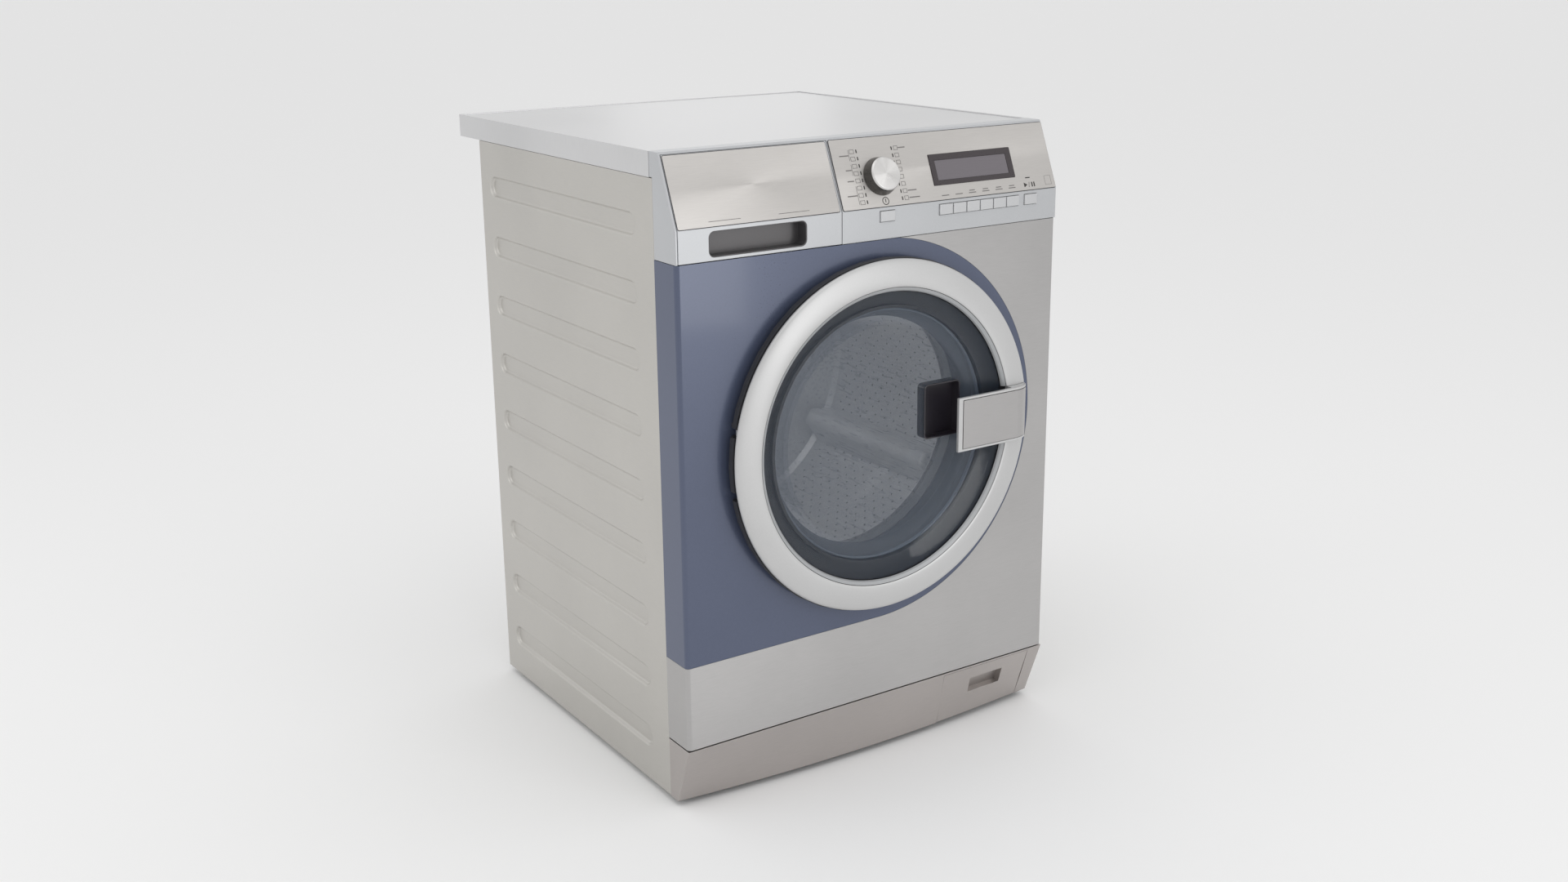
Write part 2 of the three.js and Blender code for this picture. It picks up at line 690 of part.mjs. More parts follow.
function inletValve() {
  const [x, z] = inletPlace;
  return join(
    box(grow([x, x], 25), [505, sideBack], grow([z, z], 25)),
    drumAxisDisc(13, [550, 580], 20, inletPlace),
  );
}

add("drain_pump", turned(pumpProfile, 28, pumpAxis), whitePlastic);
add("filter_cap", filterCap(), silverPlastic);
add("inlet_valve", inletValve(), whitePlastic);

export default machine;
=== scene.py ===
# %% [markdown]
# # A front-loading washing machine, piece by piece
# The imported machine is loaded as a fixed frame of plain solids. Each cell then says what a piece is on
# the real machine, how it could be made and why it is made this way. Lengths are written in
# millimetres: x to the right, y back from the face of the front panel, z up from the floor.

# %% Load the frame
from math import atan2, cos, pi, radians
import bpy
from mathutils import Matrix, Vector


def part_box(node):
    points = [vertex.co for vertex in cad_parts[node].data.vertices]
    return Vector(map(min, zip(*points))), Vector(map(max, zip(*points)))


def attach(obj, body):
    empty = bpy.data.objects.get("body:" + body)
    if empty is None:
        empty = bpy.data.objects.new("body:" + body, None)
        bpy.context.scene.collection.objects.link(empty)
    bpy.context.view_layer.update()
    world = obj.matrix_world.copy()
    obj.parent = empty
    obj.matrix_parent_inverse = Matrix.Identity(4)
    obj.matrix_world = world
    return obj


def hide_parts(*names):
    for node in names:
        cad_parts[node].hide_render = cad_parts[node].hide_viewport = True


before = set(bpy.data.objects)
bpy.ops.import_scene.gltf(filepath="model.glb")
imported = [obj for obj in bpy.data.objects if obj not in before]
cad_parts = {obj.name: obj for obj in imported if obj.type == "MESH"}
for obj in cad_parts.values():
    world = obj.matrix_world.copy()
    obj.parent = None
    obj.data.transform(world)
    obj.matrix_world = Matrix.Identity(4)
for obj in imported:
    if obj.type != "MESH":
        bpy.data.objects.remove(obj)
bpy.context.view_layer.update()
front_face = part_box("front_panel")[0].y

# %% [markdown]
# ## Driving sizes
# A few sizes run through the whole machine: half its width, the height of the worktop, the axis that the
# door and the drum share, where the front meets the sides, and the slope of the control panel.

# %% Sizes that several pieces share
half_width, top_z = 298.5, 850
door_z = 464
sheet_join_y = 51.2
break_z, slope_back = 761.2, 36.3
slope_lean = atan2(slope_back, top_z - break_z)
lean = slope_back / (top_z - break_z)

# %% [markdown]
# ## Tools of the bench
# An operator works on everything that is selected, so a piece is always picked alone first. Inside a
# piece, faces, edges or points are picked by where they are, which keeps the steps readable.

# %% Picking pieces and parts of pieces
def place(x, y, z):
    return Vector((x / 1000, y / 1000 + front_face, z / 1000))


def millimetres(v):
    return Vector((v.x * 1000, (v.y - front_face) * 1000, v.z * 1000))


def only(piece):
    bpy.ops.object.select_all(action="DESELECT")
    piece.select_set(True)
    bpy.context.view_layer.objects.active = piece


def edit(piece, kind, test):
    """Opens a piece with the faces, edges or points that pass the test selected."""
    only(piece)
    bpy.ops.object.mode_set(mode="EDIT")
    bpy.ops.mesh.select_mode(type={"faces": "FACE", "edges": "EDGE", "points": "VERT"}[kind])
    bpy.ops.mesh.select_all(action="DESELECT")
    bpy.ops.object.mode_set(mode="OBJECT")
    mesh = piece.data
    if kind == "faces":
        for face in mesh.polygons:
            face.select = test(millimetres(face.center), face.normal)
    elif kind == "edges":
        for edge in mesh.edges:
            edge.select = test(*(millimetres(mesh.vertices[i].co) for i in edge.vertices))
    else:
        for point in mesh.vertices:
            point.select = test(millimetres(point.co))
    bpy.ops.object.mode_set(mode="EDIT")


def close():
    bpy.ops.object.mode_set(mode="OBJECT")


def slide(x=0, y=0, z=0):
    bpy.ops.transform.translate(value=(x / 1000, y / 1000, z / 1000))


def pull(x=0, y=0, z=0):
    bpy.ops.mesh.extrude_region_move(TRANSFORM_OT_translate={"value": (x / 1000, y / 1000, z / 1000)})


def settle(piece, name):
    """Puts the piece's place into its mesh and gives it its name."""
    only(piece)
    bpy.ops.object.transform_apply(location=True, rotation=True, scale=True)
    piece.name = piece.data.name = name
    return piece


def modify(piece, kind, **settings):
    only(piece)
    step = piece.modifiers.new(kind, kind)
    for key, value in settings.items():
        setattr(step, key, value)
    bpy.ops.object.modifier_apply(modifier=step.name)
    return piece


def carve(piece, *tools, how="DIFFERENCE"):
    """Cuts tools out of a piece, or joins them to it, and takes the tools away."""
    for tool in tools:
        modify(piece, "BOOLEAN", operation=how, solver="EXACT", object=tool)
        bpy.data.objects.remove(tool)
    return piece


def merged(first, *others):
    only(first)
    for other in others:
        other.select_set(True)
    bpy.ops.object.join()
    return first


# %% [markdown]
# ## Blocks, turned shapes and drawn outlines
# Nearly all of the machine is bent from sheet, turned or pushed out in a straight line. A block is a
# cube primitive at its size. A turned shape is one point pulled along a profile and spun. A drawn shape
# is one point pulled round an outline, filled and pulled straight.

# %% Primitive shapes
def block(name, x, y, z):
    corners = [place(x[i], y[i], z[i]) for i in (0, 1)]
    size = corners[1] - corners[0]
    bpy.ops.mesh.primitive_cube_add(size=1, location=(corners[0] + corners[1]) / 2, scale=size)
    return settle(bpy.context.object, name)


def rod(name, radius, y, centre=(0, door_z), sides=96):
    x, z = centre
    depth = (y[1] - y[0]) / 1000
    bpy.ops.mesh.primitive_cylinder_add(vertices=sides, radius=radius / 1000, depth=depth,
                                        location=place(x, (y[0] + y[1]) / 2, z), rotation=(pi / 2, 0, 0))
    return settle(bpy.context.object, name)


def thread_of_points(start, moves):
    """One point pulled from place to place, left in edit mode with all of it selected."""
    bpy.ops.mesh.primitive_plane_add(size=0.001, location=place(*start))
    bpy.ops.object.mode_set(mode="EDIT")
    bpy.ops.mesh.select_mode(type="VERT")
    bpy.ops.mesh.merge(type="CENTER")
    for move in moves:
        pull(*move)
    bpy.ops.mesh.select_all(action="SELECT")
    bpy.ops.mesh.remove_doubles(threshold=1e-6)
    return bpy.context.object


def turned(name, profile, centre=(0, door_z), steps=128):
    """A profile of (radius, y) turned about an axis that runs front to back."""
    x, z = centre
    ring = profile if profile[0][0] == 0 else [*profile, profile[0]]
    moves = [(r1 - r0, y1 - y0, 0) for (r0, y0), (r1, y1) in zip(ring, ring[1:])]
    piece = thread_of_points((x + ring[0][0], ring[0][1], z), moves)
    bpy.ops.mesh.select_all(action="SELECT")
    bpy.ops.mesh.spin(steps=steps, angle=2 * pi, center=place(x, 0, z), axis=(0, 1, 0))
    bpy.ops.mesh.select_all(action="SELECT")
    bpy.ops.mesh.remove_doubles(threshold=1e-6)
    bpy.ops.mesh.normals_make_consistent(inside=False)
    close()
    return settle(piece, name)


def drawn(name, outline, span, along="z"):
    """An outline of (x, y) pulled straight up, or one of (y, z) pulled straight to the right."""
    lay = (lambda u, v, w: (u, v, w)) if along == "z" else (lambda u, v, w: (w, u, v))
    moves = [lay(u1 - u0, v1 - v0, 0) for (u0, v0), (u1, v1) in zip(outline, [*outline[1:], outline[0]])]
    piece = thread_of_points(lay(*outline[0], span[0]), moves)
    bpy.ops.mesh.edge_face_add()
    pull(*lay(0, 0, span[1] - span[0]))
    bpy.ops.mesh.select_all(action="SELECT")
    bpy.ops.mesh.normals_make_consistent(inside=False)
    close()
    return settle(piece, name)


def round_corners(piece, radius, along, segments=5):
    """Rounds the edges of a block that run along one axis."""
    edit(piece, "edges", lambda a, b: (a - b).length > 0.01 and abs((a - b).normalized()[along]) > 0.99)
    bpy.ops.mesh.bevel(offset=radius / 1000, segments=segments, affect="EDGES")
    close()
    return piece


# %% [markdown]
# ## Finishing a piece
# Real edges are never sharp. A piece can be given a small rounded edge wherever two faces meet at a clear
# angle. Each gets smooth shading below that angle, and normals weighted by area, so that flat sheet stays
# flat right up to its bend. Then it rides on its body and, where named, stands in for its plain solid.

# %% Finish, ride and replace
def finished(piece, material, body, *nodes, slot=None, edge=0.0, segments=2, smooth=35):
    if edge:
        modify(piece, "BEVEL", width=edge / 1000, segments=segments, limit_method="ANGLE",
               angle_limit=radians(smooth), use_clamp_overlap=True)
    only(piece)
    bpy.ops.object.shade_smooth_by_angle(angle=radians(smooth))
    modify(piece, "WEIGHTED_NORMAL", keep_sharp=True)
    piece.data.materials.clear()
    piece.data.materials.append(material)
    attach(piece, body)
    if nodes:
        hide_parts(*nodes)
    return piece


def copy_of(node, name):
    """The plain solid's mesh again, with its loose triangles joined into whole faces."""
    piece = bpy.data.objects.new(name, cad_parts[node].data.copy())
    bpy.context.scene.collection.objects.link(piece)
    edit(piece, "points", lambda p: True)
    bpy.ops.mesh.select_all(action="SELECT")
    bpy.ops.mesh.customdata_custom_splitnormals_clear()
    bpy.ops.mesh.remove_doubles(threshold=1e-5)
    bpy.ops.mesh.dissolve_limited(angle_limit=radians(0.2))
    close()
    piece.data.name = name
    return piece


# %% [markdown]
# ## Finishes
# Every finish is a shader fed by noise on the object's own coordinates. Brushed steel is noise
# stretched along one direction, which moves the colour, the roughness and a very shallow bump together.
# Mouldings have a fine even grain, and rubber and concrete a coarser one.

# %% One way to build a finish
def grained(name, colour, metallic, roughness, stretch=(300, 300, 300), depth=0.1, shade=0.06,
            rough_shift=0.06, cloud=0.03, fixed=None):
    """A finish whose grain is noise stretched by the three numbers of stretch, per metre."""
    material = bpy.data.materials.new(name)
    material.use_nodes = True
    nodes, links = material.node_tree.nodes, material.node_tree.links
    shader = nodes["Principled BSDF"]
    shader.inputs["Metallic"].default_value = metallic
    for socket, value in (fixed or {}).items():
        shader.inputs[socket].default_value = value
    place_on = nodes.new("ShaderNodeTexCoord")
    lay = nodes.new("ShaderNodeMapping")
    lay.inputs["Scale"].default_value = stretch
    grain = nodes.new("ShaderNodeTexNoise")
    grain.inputs["Scale"].default_value = 1
    grain.inputs["Detail"].default_value = 4
    links.new(place_on.outputs["Object"], lay.inputs["Vector"])
    links.new(lay.outputs["Vector"], grain.inputs["Vector"])
    wide = nodes.new("ShaderNodeTexNoise")
    wide.inputs["Scale"].default_value = 5
    wide.inputs["Detail"].default_value = 2
    links.new(place_on.outputs["Object"], wide.inputs["Vector"])
    together = nodes.new("ShaderNodeMix")
    together.inputs["Factor"].default_value = cloud / max(cloud + shade, 1e-6)
    links.new(grain.outputs["Fac"], together.inputs["A"])
    links.new(wide.outputs["Fac"], together.inputs["B"])
    tone = nodes.new("ShaderNodeValToRGB")
    spread = shade + cloud
    tone.color_ramp.elements[0].position = 0.3
    tone.color_ramp.elements[1].position = 0.7
    tone.color_ramp.elements[0].color = (*[c * (1 - spread) for c in colour], 1)
    tone.color_ramp.elements[1].color = (*[min(1, c * (1 + spread)) for c in colour], 1)
    links.new(together.outputs["Result"], tone.inputs["Fac"])
    links.new(tone.outputs["Color"], shader.inputs["Base Color"])
    rough = nodes.new("ShaderNodeMapRange")
    rough.inputs["From Min"].default_value = 0.3
    rough.inputs["From Max"].default_value = 0.7
    rough.inputs["To Min"].default_value = max(0.02, roughness - rough_shift)
    rough.inputs["To Max"].default_value = roughness + rough_shift
    links.new(together.outputs["Result"], rough.inputs["Value"])
    links.new(rough.outputs["Result"], shader.inputs["Roughness"])
    bump = nodes.new("ShaderNodeBump")
    bump.inputs["Strength"].default_value = depth
    bump.inputs["Distance"].default_value = 0.0004
    links.new(grain.outputs["Fac"], bump.inputs["Height"])
    links.new(bump.outputs["Normal"], shader.inputs["Normal"])
    return material


# %% The metals
level_brush = {"Anisotropic": 0.6, "Anisotropic Rotation": 0.25}
side_steel = grained("side_steel", (0.56, 0.545, 0.515), 0.85, 0.40, (60, 60, 1200), 0.08, 0.025, 0.04)
top_steel = grained("top_steel", (0.66, 0.66, 0.665), 0.85, 0.34, (60, 1200, 60), 0.08, 0.025, 0.04)
front_steel = grained("front_steel", (0.46, 0.452, 0.448), 0.85, 0.34, (60, 60, 1200), 0.08, 0.025, 0.04,
                      fixed=level_brush)
# The plinth's steel is the front's steel made darker and browner: painted shade and a painted reflection of
# a darker floor.
plinth_shaded_steel = grained("plinth_shaded_steel", (0.47, 0.44, 0.425), 0.85, 0.40, (60, 60, 1200), 0.08, 0.03, 0.04)
fascia_steel = grained("fascia_steel", (0.57, 0.55, 0.53), 0.85, 0.34, (50, 300, 1800), 0.1, 0.03, 0.04,
                       fixed=level_brush)
handle_steel = grained("handle_steel", (0.45, 0.44, 0.437), 0.85, 0.32, (50, 300, 1800), 0.1, 0.03, 0.04,
                       fixed=level_brush)
drum_steel = grained("drum_steel", (0.92, 0.93, 0.95), 0.25, 0.30, (200, 30, 200), 0.15, 0.06)
zinc_steel = grained("zinc_steel", (0.55, 0.55, 0.53), 0.9, 0.42, (150, 150, 150), 0.2, 0.12, 0.1, 0.08)
# Black steel for the springs, dampers and motor, and painted shade in the floors of the drum's holes.
black_steel = grained("black_steel", (0.03, 0.03, 0.035), 0.3, 0.45, (400, 400, 400), 0.2, 0.15)
cast_aluminium = grained("cast_aluminium", (0.55, 0.56, 0.57), 0.8, 0.55, (250, 250, 250), 0.4, 0.12)

# %% [markdown]
# ## Lacquers and mouldings
# The same function makes the painted, moulded, printed and rubber finishes, and the concrete.

# %% The lacquers and mouldings
clear_coat = {"Coat Weight": 0.3, "Coat Roughness": 0.08}
blue_lacquer = grained("blue_lacquer", (0.086, 0.104, 0.166), 0.25, 0.30, (500, 500, 500), 0.03, 0.03,
                       0.03, 0.03, clear_coat)
silver_plastic = grained("silver_plastic", (0.50, 0.51, 0.525), 0.3, 0.34, (700, 700, 700), 0.08, 0.02)
# Painted shade: a dark grey for the lining of the drawer's recess, which is really the drawer's own
# moulding.
recess_shade_grey = grained("recess_shade_grey", (0.11, 0.106, 0.109), 0.4, 0.38, (700, 700, 700), 0.1, 0.05)
ring_silver = grained("ring_silver", (0.56, 0.56, 0.56), 0.35, 0.40, (700, 700, 700), 0.05, 0.02)
# Painted shade: the ring's silver made darker for its inner lip.
lip_shaded_grey = grained("lip_shaded_grey", (0.42, 0.43, 0.44), 0.2, 0.4, (700, 700, 700), 0.06, 0.02)
dark_plastic = grained("dark_plastic", (0.042, 0.042, 0.047), 0.0, 0.46, (600, 600, 600), 0.0, 0.03,
                       0.02)
bezel_plastic = grained("bezel_plastic", (0.045, 0.036, 0.04), 0.0, 0.3, (600, 600, 600), 0.08, 0.06)
white_plastic = grained("white_plastic", (0.72, 0.72, 0.69), 0.0, 0.45, (500, 500, 500), 0.15, 0.03)
grey_plastic = grained("grey_plastic", (0.34, 0.35, 0.36), 0.0, 0.5, (500, 500, 500), 0.3, 0.06)
button_plastic = grained("button_plastic", (0.56, 0.565, 0.575), 0.2, 0.32, (700, 700, 700), 0.06, 0.02)
gasket_rubber = grained("gasket_rubber", (0.075, 0.085, 0.105), 0.0, 0.6, (350, 350, 350), 0.0, 0.03,
                        0.02)
black_rubber = grained("black_rubber", (0.025, 0.025, 0.025), 0.0, 0.7, (350, 350, 350), 0.4, 0.15)
concrete = grained("concrete", (0.40, 0.39, 0.37), 0.0, 0.9, (120, 120, 120), 0.9, 0.22, 0.05, 0.1)
print_grey = grained("print_grey", (0.035, 0.032, 0.03), 0.0, 0.6, (900, 900, 900), 0.05, 0.05)
print_pale = grained("print_pale", (0.19, 0.18, 0.175), 0.0, 0.6, (900, 900, 900), 0.05, 0.05)
screen_grey = grained("screen_grey", (0.16, 0.145, 0.16), 0.0, 0.18, (40, 40, 1200), 0.02, 0.03)

# %% [markdown]
# ## Clear parts
# Thick refracting glass keeps light out of a closed drum, so the clear parts let light straight through
# and keep a gloss of their own. How much is let through is the shader's alpha.

# %% Smoked cover and clear glass
def clear_part(name, colour, alpha, roughness):
    smears = {"Alpha": alpha, "IOR": 1.5, "Coat Weight": 0.3, "Coat Roughness": 0.03}
    return grained(name, colour, 0.0, roughness, (4, 4, 4), 0.0, 0.02, 0.01, 0.04, smears)


tinted_cover = clear_part("tinted_cover", (0.045, 0.062, 0.090), 0.22, 0.05)
bowl_glass = clear_part("bowl_glass", (0.66, 0.74, 0.88), 0.11, 0.05)
smoked_pocket = clear_part("smoked_pocket", (0.020, 0.017, 0.023), 0.97, 0.30)

# %% [markdown]
# ## Side sheets
# The sides are one steel sheet each, with nine long grooves pressed in to stiffen them. A real press
# leaves soft shoulders. So a stretched cone, repeated nine times, is cut out of a block, only the outer
# skin is kept, its sharp rims are rounded, its border is folded in, and the skin is given its wall.

# %% Two side sheets
side_y, side_z = (51.5, 552.7), (8.3, 818.3)
groove = {"count": 9, "top": 756.6, "pitch": 85.6, "radius": 15, "y": (97, 522), "deep": 4.5}


def groove_tool(side):
    mid = sum(groove["y"]) / 2
    stretch = (groove["y"][1] - groove["y"][0]) / 2 - groove["radius"]
    proud = 1
    depth = groove["deep"] + proud
    bpy.ops.mesh.primitive_cone_add(
        vertices=32, radius1=(groove["radius"] + 0.6) / 1000, radius2=(groove["radius"] - 2.8) / 1000,
        depth=depth / 1000, rotation=(0, -side * pi / 2, 0),
        location=place(side * (half_width + proud - depth / 2), mid, groove["top"]))
    tool = settle(bpy.context.object, "groove_tool")
    edit(tool, "points", lambda p: True)
    bpy.ops.transform.rotate(value=pi / 32, orient_axis="X", center_override=place(0, mid, groove["top"]))
    close()
    for way in (-1, 1):
        edit(tool, "points", lambda p: (p.y - mid) * way > 0)
        slide(y=way * stretch)
        close()
    return modify(tool, "ARRAY", count=groove["count"], use_relative_offset=False, use_constant_offset=True,
                  constant_offset_displace=(0, 0, -groove["pitch"] / 1000))


def side_sheet(name, side):
    """A skin with pressed grooves, folded in along its four edges."""
    inner, fold, near = half_width - 6, 14, 0.05

    def on_border(c, n):
        gaps = [abs(c.y - y) for y in side_y] + [abs(c.z - z) for z in side_z]
        return abs(n.x) < 0.01 and min(gaps) < near

    sheet = block(name, sorted((side * inner, side * half_width)), side_y, side_z)
    carve(sheet, groove_tool(side))
    edit(sheet, "faces", lambda c, n: abs(c.x) < inner + near or on_border(c, n))
    bpy.ops.mesh.delete(type="FACE")
    bpy.ops.mesh.select_mode(type="EDGE")
    bpy.ops.mesh.select_all(action="DESELECT")
    bpy.ops.mesh.edges_select_sharp(sharpness=radians(20))
    bpy.ops.mesh.bevel(offset=0.0019, segments=4, affect="EDGES", clamp_overlap=True)
    bpy.ops.mesh.select_all(action="DESELECT")
    bpy.ops.mesh.select_non_manifold(extend=False, use_wire=False, use_multi_face=False,
                                     use_non_contiguous=False, use_verts=False)
    pull(x=-side * fold)
    bpy.ops.mesh.select_all(action="DESELECT")
    bpy.ops.mesh.edges_select_sharp(sharpness=radians(60))
    bpy.ops.mesh.bevel(offset=0.0012, segments=3, affect="EDGES", clamp_overlap=True)
    close()
    modify(sheet, "SOLIDIFY", thickness=0.0012, offset=-1)
    return finished(sheet, side_steel, "cabinet", "side_panel_left" if side < 0 else "side_panel_right",
                    slot="side_steel")


for side, word in ((-1, "left"), (1, "right")):
    print("side sheet", word, len(side_sheet("side_sheet_" + word, side).data.polygons), "faces")

# %% [markdown]
# ## Worktop
# The top is a steel tray turned over, deeper than the cabinet. An inset and a push down leave a thin rim
# proud around it, a second inset raises the field again and so leaves a fine groove beside the rim, and
# one from below makes the hollow.

# %% Worktop
top_y, top_skirt = (57.6, 619), 818.6
worktop = block("worktop_sheet", (-half_width, half_width), top_y, (top_skirt, top_z))
top_middle = sum(top_y) / 2
for up, steps in ((1, ((5.5, -2.4), (1.3, 1.2))), (-1, ((2, 27),))):
    for inset, move in steps:
        edit(worktop, "faces", lambda c, n: n.z * up > 0.9 and abs(c.x) < 1 and abs(c.y - top_middle) < 1)
        bpy.ops.mesh.inset(thickness=inset / 1000)
        pull(z=move)
        close()
finished(worktop, top_steel, "cabinet", "worktop", slot="top_steel", edge=0.3, segments=2)

# %% [markdown]
# ## Front sheets
# The front is sheet steel with rounded upright edges that return to meet the sides. Its blue field runs
# from the left side to a round end that follows the door. Both are cut from the same folded sheet, the
# blue one by keeping what the field covers and the bare one by taking that away.

# %% Folded front sheet and the blue field
field_radius = 258
hinge_slot_heights = (426, 508)


def folded_front(name):
    sheet = block(name, (-half_width, half_width), (0, sheet_join_y), (92.6, 720.2))
    edit(sheet, "edges", lambda a, b: max(a.y, b.y) < 1 and abs(a.x - b.x) < 1)
    bpy.ops.mesh.bevel(offset=0.006, segments=8, affect="EDGES")
    close()
    edit(sheet, "faces", lambda c, n: n.y > 0.9 or abs(n.z) > 0.9)
    bpy.ops.mesh.delete(type="FACE")
    close()
    for side in (-1, 1):
        edit(sheet, "edges", lambda a, b: min(a.y, b.y) > sheet_join_y - 0.2 and a.x * side > 0)
        pull(x=-side * 15)
        close()
    return modify(sheet, "SOLIDIFY", thickness=0.0015, offset=-1)


def blue_field(radius):
    """A round end about the door, joined to a long block that runs off to the left."""
    through = (-8, 70)
    run_left = block("left", (-320, 0), through, (door_z - radius, 760))
    return carve(rod("field", radius, through, sides=256), run_left, how="UNION")


blue_front = carve(folded_front("blue_front"), blue_field(field_radius), how="INTERSECT")
slots = [block("slot", (-206.5, -197.5), (-5, 5), (z - 4.5, z + 4.5)) for z in hinge_slot_heights]
latch_slot = block("slot", (194, 220), (-5, 5), (452, 476))
carve(blue_front, rod("porthole", 176.5, (-5, 10), sides=192), latch_slot, *slots)
finished(blue_front, blue_lacquer, "cabinet", "front_panel_blue", slot="blue_lacquer")
steel_front = carve(folded_front("steel_front"), blue_field(field_radius + 0.35))
finished(steel_front, front_steel, "cabinet", "front_panel", slot="front_steel")
print("front sheets", len(blue_front.data.polygons), len(steel_front.data.polygons), "faces")

# %% [markdown]
# ## Plinth and filter flap
# The plinth leans back and bows forward along its bottom edge, which a flat block can't give. The plain
# solid already has that curve, so its mesh is copied, its triangles joined and its edges rounded.

# %% Plinth and flap
# Plinth and flap wear the darker, browner steel: painted shade and painted reflection.
finished(copy_of("plinth", "plinth_sheet"), plinth_shaded_steel, "cabinet", "plinth", slot="front_steel",
         edge=1.2, segments=3, smooth=25)
finished(copy_of("filter_flap", "flap_sheet"), plinth_shaded_steel, "flap", "filter_flap", slot="front_steel",
         edge=0.5, segments=2, smooth=25)

# %% [markdown]
# ## Control panel
# The control panel is one long moulding with an upright strip for the buttons and a sloped face for
# brushed plates. Its end view is drawn and pulled across the machine, its edges are rounded while it is
# still plain, and only then is it hollowed and are the openings cut, so that nothing disturbs their rims.

# %% Control moulding
wall = 2.5
panel_bottom = 720.5
wall_along_y = wall / cos(slope_lean)
drawer_split = -57.7
button_spans = {"power_button": (0.5, 24), "start_button": (241, 263)}
options_from, option_pitch = 96, 136 / 6
for i in range(6):
    left = options_from + i * option_pitch
    button_spans[f"option_button_{i + 1}"] = (left, left + option_pitch - 0.8)


def eased(piece, radius, segments=3, angle=20):
    return modify(piece, "BEVEL", width=radius / 1000, segments=segments, limit_method="ANGLE",
                  angle_limit=radians(angle))


def inside_of_panel(x):
    """What is cut out behind the front wall. The break of the slope moves in by the wall."""
    floor_z, roof_z, back = panel_bottom + wall, top_z - wall, 62
    outline = [(wall, floor_z), (wall, break_z + (wall - wall_along_y) / lean),
               (wall_along_y + (roof_z - break_z) * lean, roof_z), (back, roof_z), (back, floor_z)]
    return drawn("inside", outline, x, "x")


panel_outline = [(0, panel_bottom), (0, break_z), (slope_back, top_z), (57.3, top_z), (57.3, 818.9),
                 (sheet_join_y, 818.9), (sheet_join_y, panel_bottom)]
panel = drawn("control_moulding", panel_outline, (-half_width, half_width), "x")
eased(panel, 1.2)
carve(panel, inside_of_panel((-296, drawer_split)), inside_of_panel((drawer_split + wall, 296)),
      block("drawer", (-295.7, drawer_split), (-5, 48), (715, 847.2)))
for x0, x1 in button_spans.values():
    carve(panel, block("hole", (x0 - 0.35, x1 + 0.35), (-5, 5), (742.6, 757.4)))
finished(panel, silver_plastic, "cabinet", "control_panel", slot="silver_plastic", smooth=30)

# %% [markdown]
# ## Drawer front
# The drawer front has the same end view as the panel. Its finger recess is a box let in through the front
# and lined with a dark grey sheet, which paints the deep shade that one sees there.

# %% Drawer moulding and liner
drawer_top, drawer_bottom = 846.8, 721
set_back = (drawer_top - break_z) * lean
drawer_outline = [(0, drawer_bottom), (0, break_z), (set_back, drawer_top), (set_back + 8.6, drawer_top),
                  (8, break_z - 1.6), (8, drawer_bottom)]
drawer_front = drawn("drawer_moulding", drawer_outline, (-294.7, drawer_split - 0.6), "x")
eased(drawer_front, 0.9)
carve(drawer_front, round_corners(block("wall", (-254.5, -109), (1, 22), (723, 759)), 9, 1), how="UNION")
carve(drawer_front, round_corners(block("recess", (-252.5, -111), (-3, 20), (725, 757)), 8, 1))
finished(drawer_front, silver_plastic, "drawer", "drawer_front", slot="silver_plastic", smooth=30)
# The liner is painted shade: the recess's own silver moulding made dark grey.
recess_shade_liner = round_corners(block("recess_painted_shade", (-252.3, -111.2), (0.8, 19.9), (725.2, 756.8)), 7.8, 1, 8)
edit(recess_shade_liner, "faces", lambda c, n: n.y < -0.9)
bpy.ops.mesh.inset(thickness=0.0011)
pull(y=18.2)
close()
finished(recess_shade_liner, recess_shade_grey, "drawer", slot="silver_plastic", edge=0.3, smooth=30)


# %% [markdown]
# ## Brushed plates
# Two thin brushed plates lie on the slope, each on a dark sheet a little larger than itself, which paints
# the line of shadow around it. Whatever lies on the slope is made upright at the front face first and then
# leaned back as one.

# %% Brushed plates
def leaned(piece):
    """Takes a piece made at the front face, z counted from 0, onto the sloped face."""
    turn = Matrix.Translation(place(0, 0, break_z)) @ Matrix.Rotation(-slope_lean, 4, "X")
    piece.matrix_world = turn @ Matrix.Translation(-place(0, 0, 0))
    bpy.context.view_layer.update()
    return settle(piece, piece.name)


def plate(name, x, y, up, radius=2.0):
    return round_corners(block(name, x, y, up), radius, 1)


fascia = plate("control_plate", (-56, 297), (-1.1, -0.3), (1, 92))
carve(fascia, block("hole", (92.7, 230.3), (-5, 5), (20.2, 61.8)), rod("hole", 5, (-5, 5), (10.5, 40), 32))
# A dark sheet a little larger than the plate lies under it: painted shadow around the plate.
plate_shadow_sheet = plate("plate_painted_shadow", (-56.9, 297.6), (-0.5, -0.1), (0.2, 92.8), 2.8)
finished(leaned(plate_shadow_sheet), dark_plastic, "cabinet")
# The same painted shadow, around the drawer's plate.
drawer_shadow_sheet = plate("drawer_plate_painted_shadow", (-294.5, -60.8), (-0.5, -0.1), (0.2, 91.8), 2.8)
finished(leaned(drawer_shadow_sheet), dark_plastic, "drawer")
finished(leaned(fascia), fascia_steel, "cabinet", "control_fascia", slot="fascia_steel", edge=0.2)
drawer_plate = plate("drawer_cover_plate", (-294, -61.5), (-1.1, -0.3), (1, 91))
finished(leaned(drawer_plate), fascia_steel, "drawer", "drawer_plate", slot="fascia_steel", edge=0.2)

# %% [markdown]
# ## Display
# A dark bezel stands a little proud of the plate, and its window is sunk into it.

